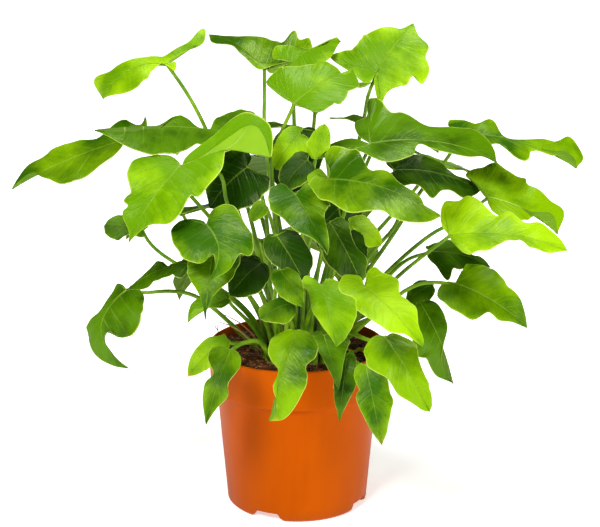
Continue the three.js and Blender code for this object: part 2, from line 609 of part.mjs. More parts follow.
// Rear leaves share three plain outlines, turned about the pot's axis.
const OUTLINES = {
  arrow: {
    lobe: [[-0.1, 0.1], [-0.24, 0.26], [-0.2, 0.42], [0, 0.48]],
    edge: [[0.2, 0.42], [0.38, 0.3], [0.55, 0.31], [0.8, 0.15]],
  },
  heart: {
    lobe: [[-0.12, 0.14], [-0.16, 0.34], [0, 0.5]],
    edge: [[0.22, 0.5], [0.46, 0.36], [0.62, 0.3], [0.84, 0.1]],
  },
  notched: {
    lobe: [[-0.16, 0.12], [-0.3, 0.34], [-0.16, 0.55], [0.04, 0.46]],
    edge: [[0.22, 0.5], [0.4, 0.27], [0.6, 0.27], [0.82, 0.12]],
  },
};

// azimuth is in degrees from +X, reach and height place the base, dip is the blade's downward slope in degrees
// and turn swings the blade about its base.
const REAR_LEAVES = [
  { name: 'top', tone: 'light', azimuth: 80, reach: 92, height: 318, length: 84, dip: 28, turn: 10 },
  { name: 'top_left', tone: 'middle', azimuth: 120, reach: 100, height: 280, length: 92, dip: 22, turn: 8 },
  { name: 'top_right', tone: 'middle', azimuth: 52, reach: 112, height: 286, length: 80, dip: 26, turn: -6 },
  { name: 'middle', tone: 'dark', azimuth: 100, reach: 128, height: 250, length: 82, dip: 34, turn: -6 },
  { name: 'left', tone: 'dark', azimuth: 158, reach: 98, height: 226, length: 78, dip: 26, turn: -22 },
  { name: 'right', tone: 'dark', azimuth: 72, reach: 124, height: 226, length: 74, dip: 44, turn: 6 },
  { name: 'far_right', tone: 'light', azimuth: 30, reach: 128, height: 262, length: 70, dip: 34, turn: -6 },
  { name: 'low', tone: 'light', azimuth: 106, reach: 108, height: 186, length: 72, dip: 52, turn: 4 },
  { name: 'low_left', tone: 'middle', azimuth: 140, reach: 92, height: 188, length: 60, dip: 54, turn: 0 },
  { name: 'low_right', tone: 'middle', azimuth: 70, reach: 96, height: 186, length: 64, dip: 56, turn: 4 },
];

const UP = new THREE.Vector3(0, 0, 1);

function rearLeaf({ name, tone, azimuth, reach, height, length, dip, turn }, index) {
  const angle = THREE.MathUtils.degToRad(azimuth);
  const heading = THREE.MathUtils.degToRad(azimuth + turn);
  const slope = THREE.MathUtils.degToRad(dip);
  const outward = new THREE.Vector3(Math.cos(heading), Math.sin(heading), 0);
  const base = new THREE.Vector3(reach * Math.cos(angle), reach * Math.sin(angle), height);
  const along = outward.clone().multiplyScalar(Math.cos(slope)).addScaledVector(UP, -Math.sin(slope));
  const face = outward.clone().multiplyScalar(Math.sin(slope)).addScaledVector(UP, Math.cos(slope));
  const shapes = Object.values(OUTLINES);
  return {
    name: `leaf_rear_${name}`,
    tone,
    base: base.toArray(),
    tip: base.clone().addScaledVector(along, length).toArray(),
    face: face.toArray(),
    left: shapes[index % shapes.length],
    right: shapes[(index + 1) % shapes.length],
    arch: 0.12,
  };
}

// Solids

function solidOf(geometry) {
  const merged = geometry.clone();
  merged.deleteAttribute('normal');
  merged.deleteAttribute('uv');
  const clean = BufferGeometryUtils.mergeVertices(merged, 1e-4);
  return new wasm.Manifold(new wasm.Mesh({
    numProp: 3,
    vertProperties: new Float32Array(clean.attributes.position.array),
    triVerts: new Uint32Array(clean.index.array),
  }));
}

// A joined solid as a mesh, with corners that nearly meet drawn together. A triangle that this leaves without
// width, or back to back with another, is dropped.
function geometryOf(solid) {
  const mesh = solid.getMesh();
  const joined = new THREE.BufferGeometry();
  joined.setAttribute('position', new THREE.Float32BufferAttribute(mesh.vertProperties, 3));
  joined.setIndex(Array.from(mesh.triVerts));
  const geometry = BufferGeometryUtils.mergeVertices(joined, WELD);
  const corners = Array.from(geometry.index.array);
  const kept = new Map();
  for (let i = 0; i < corners.length; i += 3) {
    const triangle = corners.slice(i, i + 3);
    const key = triangle.toSorted((a, b) => a - b).join();
    if (new Set(triangle).size === 3 && !kept.delete(key)) {
      kept.set(key, triangle);
    }
  }
  geometry.setIndex([...kept.values()].flat());
  geometry.computeVertexNormals();
  return geometry;
}

function indexedGeometry(points, faces) {
  const geometry = new THREE.BufferGeometry();
  geometry.setAttribute('position', new THREE.Float32BufferAttribute(points.flatMap((p) => p.toArray()), 3));
  geometry.setIndex(faces.flat());
  return geometry;
}

function meshOf(name, geometry, color, roughness) {
  const material = new THREE.MeshStandardMaterial({ color, roughness, metalness: 0 });
  const mesh = new THREE.Mesh(geometry, material);
  mesh.name = name;
  return mesh;
}

function turned(profile, sides) {
  const points = profile.map(([radius, height]) => new THREE.Vector2(radius, height));
  return new THREE.LatheGeometry(points, sides).rotateX(Math.PI / 2);
}

// Pot

function potGeometry() {
  const rimBase = POT_HEIGHT - RIM_HEIGHT;
  const body = (height) => THREE.MathUtils.lerp(BODY_FOOT_RADIUS, BODY_TOP_RADIUS, height / rimBase);
  const floorTop = FOOT_HEIGHT + FLOOR;
  let solid = solidOf(turned([
    [0, FOOT_HEIGHT],
    [body(0) - CORNER - FOOT_WALL, FOOT_HEIGHT],
    [body(0) - CORNER - FOOT_WALL, 0],
    [body(0) - CORNER, 0],
    [body(CORNER), CORNER],
    [BODY_TOP_RADIUS, rimBase],
    [RIM_FOOT_RADIUS, rimBase],
    [RIM_RADIUS, POT_HEIGHT - 1],
    [RIM_RADIUS - 0.5, POT_HEIGHT],
    [RIM_RADIUS - WALL, POT_HEIGHT],
    [RIM_FOOT_RADIUS - WALL, rimBase + WALL],
    [BODY_TOP_RADIUS - WALL, rimBase],
    [body(floorTop) - WALL, floorTop],
    [0, floorTop],
  ], POT_SIDES));
  for (let i = 0; i < FOOT_GAPS; i += 1) {
    const gap = new THREE.Shape([
      new THREE.Vector2(-FOOT_GAP_WIDTH / 2 - 2, -1),
      new THREE.Vector2(FOOT_GAP_WIDTH / 2 + 2, -1),
      new THREE.Vector2(FOOT_GAP_WIDTH / 2 - 2, FOOT_HEIGHT - 0.8),
      new THREE.Vector2(-FOOT_GAP_WIDTH / 2 + 2, FOOT_HEIGHT - 0.8),
    ]);
    const cutter = new THREE.ExtrudeGeometry(gap, { depth: 20, bevelEnabled: false });
    cutter.rotateX(Math.PI / 2).translate(0, -BODY_FOOT_RADIUS + 12, 0);
    cutter.rotateZ(FIRST_GAP_AZIMUTH + (i * 2 * Math.PI) / FOOT_GAPS);
    solid = solid.subtract(solidOf(cutter));
  }
  for (let i = 0; i < DRAIN_HOLES; i += 1) {
    const angle = (i * 2 * Math.PI) / DRAIN_HOLES;
    const hole = new THREE.CylinderGeometry(DRAIN_RADIUS, DRAIN_RADIUS, 4 * FLOOR, 10).rotateX(Math.PI / 2);
    hole.translate(DRAIN_RING * Math.cos(angle), DRAIN_RING * Math.sin(angle), FOOT_HEIGHT + FLOOR / 2);
    solid = solid.subtract(solidOf(hole));
  }
  return geometryOf(solid);
}

// Potting mix

function mixLump(x, y) {
  return MIX_LUMP * (Math.sin(0.21 * x + 1.3) * Math.cos(0.17 * y) + 0.5 * Math.sin(0.37 * y + 0.11 * x));
}

function mixGeometry(feet) {
  const rimBase = POT_HEIGHT - RIM_HEIGHT;
  const floorTop = FOOT_HEIGHT + FLOOR + MIX_GAP;
  const inset = WALL + 2 * MIX_GAP;
  const body = (height) => THREE.MathUtils.lerp(BODY_FOOT_RADIUS, BODY_TOP_RADIUS, height / rimBase) - inset;
  const topEdge = RIM_FOOT_RADIUS - inset;
  const geometry = turned([
    [0, floorTop],
    [body(floorTop), floorTop],
    [body(rimBase) - 0.2, rimBase + 0.3],
    [topEdge, rimBase + WALL + 1],
    [topEdge, MIX_EDGE_HEIGHT],
    [0.7 * topEdge, (MIX_EDGE_HEIGHT + MIX_CROWN_HEIGHT) / 2],
    [0.35 * topEdge, MIX_CROWN_HEIGHT],
    [0, MIX_CROWN_HEIGHT],
  ], MIX_SIDES);
  const place = geometry.attributes.position;
  for (let i = 0; i < place.count; i += 1) {
    if (place.getZ(i) > MIX_EDGE_HEIGHT - 1) {
      place.setZ(i, place.getZ(i) + mixLump(place.getX(i), place.getY(i)));
    }
  }
  let solid = solidOf(geometry);
  for (const foot of feet) {
    const depth = STALK_DEPTH + 1;
    const hole = new THREE.CylinderGeometry(HOLE_RADIUS, HOLE_RADIUS, 2 * depth, STALK_SIDES);
    hole.rotateX(Math.PI / 2).translate(foot.x, foot.y, MIX_EDGE_HEIGHT);
    solid = solid.subtract(solidOf(hole));
  }
  return geometryOf(solid);
}

// Stalks: each foot lies on its leaf's side of the crown, low leaves furthest out, all a little apart.

function placeFeet(leaves) {
  const feet = leaves.map(({ base, foot }) => {
    if (foot) {
      return new THREE.Vector3(foot[0], foot[1], 0);
    }
    const height = THREE.MathUtils.clamp((base[2] - 150) / 200, 0, 1);
    const radius = THREE.MathUtils.lerp(CROWN_OUTER, CROWN_INNER, height);
    const angle = Math.atan2(base[1], base[0]);
    return new THREE.Vector3(radius * Math.cos(angle), radius * Math.sin(angle), 0);
  });
  for (let pass = 0; pass < 60; pass += 1) {
    feet.forEach((one, i) => feet.slice(i + 1).forEach((other) => {
      const apart = other.clone().sub(one);
      const missing = FOOT_SPACING - apart.length();
      if (missing > 0) {
        apart.setLength(missing / 2);
        other.add(apart);
        one.sub(apart);
      }
    }));
  }
  return feet;
}

function stalkCurve(leaf, foot, place, face) {
  const mixTop = MIX_EDGE_HEIGHT;
  const base = place([0, 0]);
  const start = new THREE.Vector3(foot.x, foot.y, mixTop - STALK_DEPTH);
  const clear = new THREE.Vector3(foot.x, foot.y, mixTop + 5);
  const under = base.clone().addScaledVector(face, -STALK_TOP_RADIUS * 0.8);
  const end = place([STALK_GRIP, 0]).addScaledVector(face, -STALK_TOP_RADIUS * 0.8);
  if (leaf.via) {
    const waypoints = leaf.via.map((p) => new THREE.Vector3(...p)).reverse();
    return { start, curve: new THREE.CatmullRomCurve3([clear, ...waypoints, under]), end };
  }
  const reach = under.distanceTo(clear);
  const outward = new THREE.Vector3(base.x - foot.x, base.y - foot.y, 0);
  outward.setLength(Math.min(outward.length(), 1));
  const arrival = face.clone().multiplyScalar(0.55).addScaledVector(outward, 0.35).addScaledVector(UP, 0.45);
  arrival.normalize();
  const rise = clear.clone().addScaledVector(UP, 0.4 * reach).addScaledVector(outward, 0.06 * reach);
  const approach = under.clone().addScaledVector(arrival, -0.3 * reach);
  if (leaf.bend) {
    rise.add(new THREE.Vector3(...leaf.bend));
    approach.add(new THREE.Vector3(...leaf.bend));
  }
  return { start, curve: new THREE.CubicBezierCurve3(clear, rise, approach, under), end };
}

function stalkGeometry({ start, curve, end }) {
  const centres = [start, ...curve.getSpacedPoints(STALK_STEPS), end];
  const points = [];
  const faces = [];
  const side = new THREE.Vector3(1, 0, 0);
  centres.forEach((centre, i) => {
    const before = centres[Math.max(i - 1, 0)];
    const after = centres[Math.min(i + 1, centres.length - 1)];
    const forward = after.clone().sub(before).normalize();
    side.addScaledVector(forward, -side.dot(forward)).normalize();
    const other = forward.clone().cross(side);
    const radius = THREE.MathUtils.lerp(STALK_FOOT_RADIUS, STALK_TOP_RADIUS, i / (centres.length - 1));
    for (let k = 0; k < STALK_SIDES; k += 1) {
      const angle = (k * 2 * Math.PI) / STALK_SIDES;
      const rim = centre.clone().addScaledVector(side, radius * Math.cos(angle));
      points.push(rim.addScaledVector(other, radius * Math.sin(angle)));
    }
  });
  for (let i = 0; i + 1 < centres.length; i += 1) {
    for (let k = 0; k < STALK_SIDES; k += 1) {
      const a = i * STALK_SIDES + k;
      const b = i * STALK_SIDES + ((k + 1) % STALK_SIDES);
      faces.push([a, b, b + STALK_SIDES], [a, b + STALK_SIDES, a + STALK_SIDES]);
    }
  }
  const last = (centres.length - 1) * STALK_SIDES;
  for (let k = 1; k + 1 < STALK_SIDES; k += 1) {
    faces.push([0, k + 1, k], [last, last + k, last + k + 1]);
  }
  return indexedGeometry(points, faces);
}

// Blades

function smoothLine(points, steps) {
  const line = new THREE.CatmullRomCurve3(points.map(([along, out]) => new THREE.Vector3(along, out, 0)));
  return line.getPoints(steps).map((p) => [p.x, p.y]);
}

// One half of a blade as rows of [origin, margin, share of the margin passed], from the notch to the tip.
function halfRows({ lobe, edge }, side, edgeSteps) {
  const lobeSteps = lobe.length + 1;
  const all = smoothLine([[0, 0], ...lobe, ...edge, [1, 0]], 16 * (lobe.length + edge.length + 1));
  const at = (share) => all[Math.round(share * 16)];
  const shoulder = lobe.length;
  const rows = [];
  const middle = at(shoulder / 2);
  for (let i = 0; i < lobeSteps; i += 1) {
    const share = i / (lobeSteps - 1);
    const reach = LOBE_RIB * (1 - Math.abs(2 * share - 1));
    const origin = [middle[0] * reach, side * middle[1] * reach];
    rows.push({ origin, margin: at(share * shoulder), rib: 0 });
  }
  for (let i = 1; i <= edgeSteps; i += 1) {
    const share = i / edgeSteps;
    rows.push({ origin: null, margin: at(shoulder + share * (edge.length + 1)), rib: share });
  }
  return rows.map((row, i) => ({
    rib: row.rib,
    origin: row.origin,
    margin: [row.margin[0], side * row.margin[1]],
    share: i / (rows.length - 1),
  }));
}

function bladePlace(leaf, base, length, along, across, face) {
  const { arch, fold = USUAL_FOLD, droop = USUAL_DROOP } = leaf;
  const bow = (a) => (a > 0 ? 4 * a * (1 - a) : LOBE_FALL * a);
  return ([a, o], ripple = 0) => {
    const lift = arch * bow(a) + fold * Math.abs(o) - droop * o * o + ripple;
    return base.clone()
      .addScaledVector(along, length * a)
      .addScaledVector(across, length * o)
      .addScaledVector(face, length * lift);
  };
}

function bladeGeometry(leaf, place) {
  const sway = leaf.sway ?? 0;
  const ribAt = (share) => [share, 4 * sway * share * (1 - share)];
  const edgeSteps = Math.max(leaf.left.edge.length, leaf.right.edge.length) + 1;
  const points = [];
  const seen = new Map();
  const add = (point) => {
    const key = point.toArray().map((v) => v.toFixed(3)).join();
    if (!seen.has(key)) {
      seen.set(key, points.length);
      points.push(point);
    }
    return seen.get(key);
  };
  const faces = [];
  const rims = [];
  for (const [half, side] of [[leaf.left, 1], [leaf.right, -1]]) {
    const rows = halfRows(half, side, edgeSteps).map(({ origin, margin, rib, share }) => {
      const from = origin ?? ribAt(rib);
      const wave = RIPPLE * Math.sin(2 * Math.PI * RIPPLES * share) * Math.sin(Math.PI * share);
      return [0, MID_RING, 1].map((out) => {
        const spot = [
          THREE.MathUtils.lerp(from[0], margin[0], out),
          THREE.MathUtils.lerp(from[1], margin[1], out),
        ];
        return add(place(spot, wave * out * out));
      });
    });
    for (let i = 0; i + 1 < rows.length; i += 1) {
      for (let k = 0; k < 2; k += 1) {
        const quad = [rows[i][k], rows[i + 1][k], rows[i + 1][k + 1], rows[i][k + 1]];
        const ring = side > 0 ? quad.reverse() : quad;
        for (const [a, b, c] of [[ring[0], ring[1], ring[2]], [ring[0], ring[2], ring[3]]]) {
          if (a !== b && b !== c && c !== a) {
            faces.push([a, b, c]);
          }
        }
      }
    }
  }
  return thickened(points, faces);
}

// A sheet of triangles given two faces, alike, and a rim round its open edge.
function thickened(points, faces) {
  const normals = points.map(() => new THREE.Vector3());
  const open = new Map();
  for (const [a, b, c] of faces) {
    const normal = points[b].clone().sub(points[a]).cross(points[c].clone().sub(points[a])).normalize();
    [a, b, c].forEach((v) => normals[v].add(normal));
    for (const [from, to] of [[a, b], [b, c], [c, a]]) {
      if (!open.delete(`${to},${from}`)) {
        open.set(`${from},${to}`, [from, to]);
      }
    }
  }
  normals.forEach((normal) => normal.setLength(BLADE_THICKNESS / 2));
  const upper = points.map((p, i) => p.clone().add(normals[i]));
  const lower = points.map((p, i) => p.clone().sub(normals[i]));
  const count = points.length;
  const all = [...faces];
  for (const [a, b, c] of faces) {
    all.push([a + count, c + count, b + count]);
  }
  for (const [from, to] of open.values()) {
    all.push([to, from, from + count], [to, from + count, to + count]);
  }
  return indexedGeometry([...upper, ...lower], all);
}

function leafMesh(leaf, foot) {
  const base = new THREE.Vector3(...leaf.base);
  const tip = new THREE.Vector3(...leaf.tip);
  const along = tip.clone().sub(base).normalize();
  const face = new THREE.Vector3(...leaf.face);
  face.addScaledVector(along, -face.dot(along)).normalize();
  const across = face.clone().cross(along);
  const place = bladePlace(leaf, base, base.distanceTo(tip), along, across, face);
  const blade = solidOf(bladeGeometry(leaf, place));
  const stalk = solidOf(stalkGeometry(stalkCurve(leaf, foot, place, face)));
  return meshOf(leaf.name, geometryOf(blade.add(stalk)), TONES[leaf.tone], 0.4);
}

const plant = new THREE.Group();
const leaves = [...LEAVES, ...REAR_LEAVES.map(rearLeaf)];
const feet = placeFeet(leaves);
plant.add(meshOf('pot', potGeometry(), POT_COLOUR, 0.45));
plant.add(meshOf('potting_mix', mixGeometry(feet), MIX_COLOUR, 0.95));
leaves.forEach((leaf, i) => plant.add(leafMesh(leaf, feet[i])));

export default plant;
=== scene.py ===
"""A potted little hope philodendron: lobed leaves on long stalks, in a pot full of potting mix.

Metres, +Z up, the origin on the pot's axis where the pot stands, -Y towards the viewer.
"""
import math
import random

import bmesh
import bpy
from mathutils import Matrix, Vector, geometry, noise


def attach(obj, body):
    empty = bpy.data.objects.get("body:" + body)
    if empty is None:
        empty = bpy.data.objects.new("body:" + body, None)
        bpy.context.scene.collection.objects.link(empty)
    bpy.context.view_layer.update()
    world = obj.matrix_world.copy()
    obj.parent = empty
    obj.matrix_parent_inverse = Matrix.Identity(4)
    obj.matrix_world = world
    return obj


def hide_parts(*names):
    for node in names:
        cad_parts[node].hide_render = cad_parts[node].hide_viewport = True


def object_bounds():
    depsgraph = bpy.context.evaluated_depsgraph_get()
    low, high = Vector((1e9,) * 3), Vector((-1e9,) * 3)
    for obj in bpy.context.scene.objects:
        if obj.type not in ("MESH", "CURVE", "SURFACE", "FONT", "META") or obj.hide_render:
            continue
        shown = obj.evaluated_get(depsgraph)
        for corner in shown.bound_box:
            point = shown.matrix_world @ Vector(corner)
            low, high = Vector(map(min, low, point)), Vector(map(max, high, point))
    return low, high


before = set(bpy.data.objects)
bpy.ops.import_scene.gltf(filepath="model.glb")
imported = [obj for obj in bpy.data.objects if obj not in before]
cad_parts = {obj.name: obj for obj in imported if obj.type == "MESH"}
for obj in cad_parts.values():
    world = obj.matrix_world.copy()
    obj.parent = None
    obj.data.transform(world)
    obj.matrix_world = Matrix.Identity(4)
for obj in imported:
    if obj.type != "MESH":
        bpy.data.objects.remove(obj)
cad_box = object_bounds()

MM = 0.001
UP = Vector((0, 0, 1))
WELD = 0.01 * MM
SEED = 7
LINE_STEPS = 16
CURVE_STEPS = 48
THIN_SIDES = 6

# Pot
POT_HEIGHT = 130 * MM
RIM_RADIUS = 70 * MM
RIM_HEIGHT = 32 * MM
RIM_FOOT_RADIUS = 68.4 * MM
BODY_TOP_RADIUS = 64 * MM
BODY_FOOT_RADIUS = 55.5 * MM
CORNER = 2.5 * MM
WALL = 1.8 * MM
FOOT_HEIGHT = 7.5 * MM
FOOT_WALL = 5 * MM
FLOOR = 2 * MM
FOOT_GAPS = 4
FOOT_GAP_WIDTH = 24 * MM
FOOT_GAP_SLOPE = 4 * MM
FOOT_GAP_HEIGHT = 6.7 * MM
FIRST_GAP_AZIMUTH = math.radians(-90 - 26)
DRAIN_HOLES = 6
DRAIN_RING = 34 * MM
DRAIN_RADIUS = 5 * MM
POT_STEPS = 240
POT_ROUNDING = 0.45 * MM
DRAIN_STEPS = 32
SHARP_FROM = math.radians(50)

# Potting mix
MIX_GAP = 0.35 * MM
MIX_EDGE_HEIGHT = 123 * MM
MIX_CROWN_HEIGHT = 126 * MM
MIX_LUMP = 1.6 * MM
MIX_RINGS = 56
MIX_STEPS = 168
MIX_RADIUS = RIM_FOOT_RADIUS - WALL - 2 * MIX_GAP
MIX_CLEAR = 1 * MM
MIX_WIDE_FOOT = POT_HEIGHT - RIM_HEIGHT + 3 * MM
MIX_NARROW_TOP = 97 * MM
MIX_SHOULDER = 0.7
MIX_EDGE_SPAN = 0.3
MIX_CROWN_SPAN = 0.35
CHUNKS = 1500
FIBRES = 520
LOT = 40

# Leaf stalks
STALK_FOOT_RADIUS = 2.05 * MM
STALK_TOP_RADIUS = 1.35 * MM
STALK_OFFSET = 1.2 * MM
STALK_DEPTH = 12 * MM
STALK_SIDES = 10
STALK_STEPS = 34
RIB_STEPS = 14
RIB_END = 0.93
SHEATH_LENGTH = 26 * MM
SHEATH_SPREAD = 0.75
FOOT_SPACING = 6.6 * MM
CROWN_INNER = 9 * MM
CROWN_OUTER = 36 * MM
LOW_BASE = 0.15
BASE_SPAN = 0.2
FOOT_PASSES = 60
STALK_CLEAR = 5 * MM
STALK_RISE = 0.4
STALK_LEAN = 0.06
STALK_APPROACH = 0.3
ARRIVAL_FACE = 0.55
ARRIVAL_OUT = 0.35
ARRIVAL_UP = 0.45
RIB_SHARE = 0.035
RIB_SIZE = 0.85
RIB_TAPER = 0.8
RIB_LEAST = 0.12 * MM
RIB_SUNK = 0.8
LOBE_RIB_STEPS = 6
LOBE_RIB_SIZE = 0.55
LOBE_RIB_END = 0.8

# Blades
BLADE_THICKNESS = 0.45 * MM
ROWS_A_POINT = 6
ACROSS = (0, 0.05, 0.16, 0.3, 0.44, 0.58, 0.71, 0.83, 0.92, 0.975, 1)
RIPPLE = 0.024
RIPPLES = 3
FLUTTER = 0.014
FLUTTERS = 8
CRINKLE = 0.6
PUFF = 0.003
BILLOW = 0.045
BILLOW_SCALE = 2.6
BILLOW_SHIFT = 9
BILLOW_EASE = 0.7
RAGGED = 0.07
RAGGED_SCALE = 14
SIDE_VEINS = 7
VEIN_SWEEP = 0.9
USUAL_ARCH = 0.1
USUAL_FOLD = 0.1
USUAL_DROOP = 0.2
LOBE_RIB = 0.6
LOBE_FALL = 1.6
BLADE_WELD = 0.02 * MM
TINT_SPREAD = 0.14

# The view that the photograph is read by: the eye, how far down it looks, the middle pixel and the lens's
# length in pixels. SIGHT_ENDS are the depths that a line of sight is drawn between. What has a depth of less
# than FRONT stands out further, by FRONT_STRETCH.
PHOTO_EYE = (0.0024, -1.5, 0.637)
PHOTO_TILT = math.radians(16.4)
PHOTO_MIDDLE = (300, 263.5)
PHOTO_LENS = 2001
SIGHT_ENDS = (-0.5, 0.5)
SIGHT_PASSES = 12
FRONT = -80 * MM
FRONT_STRETCH = 1.6

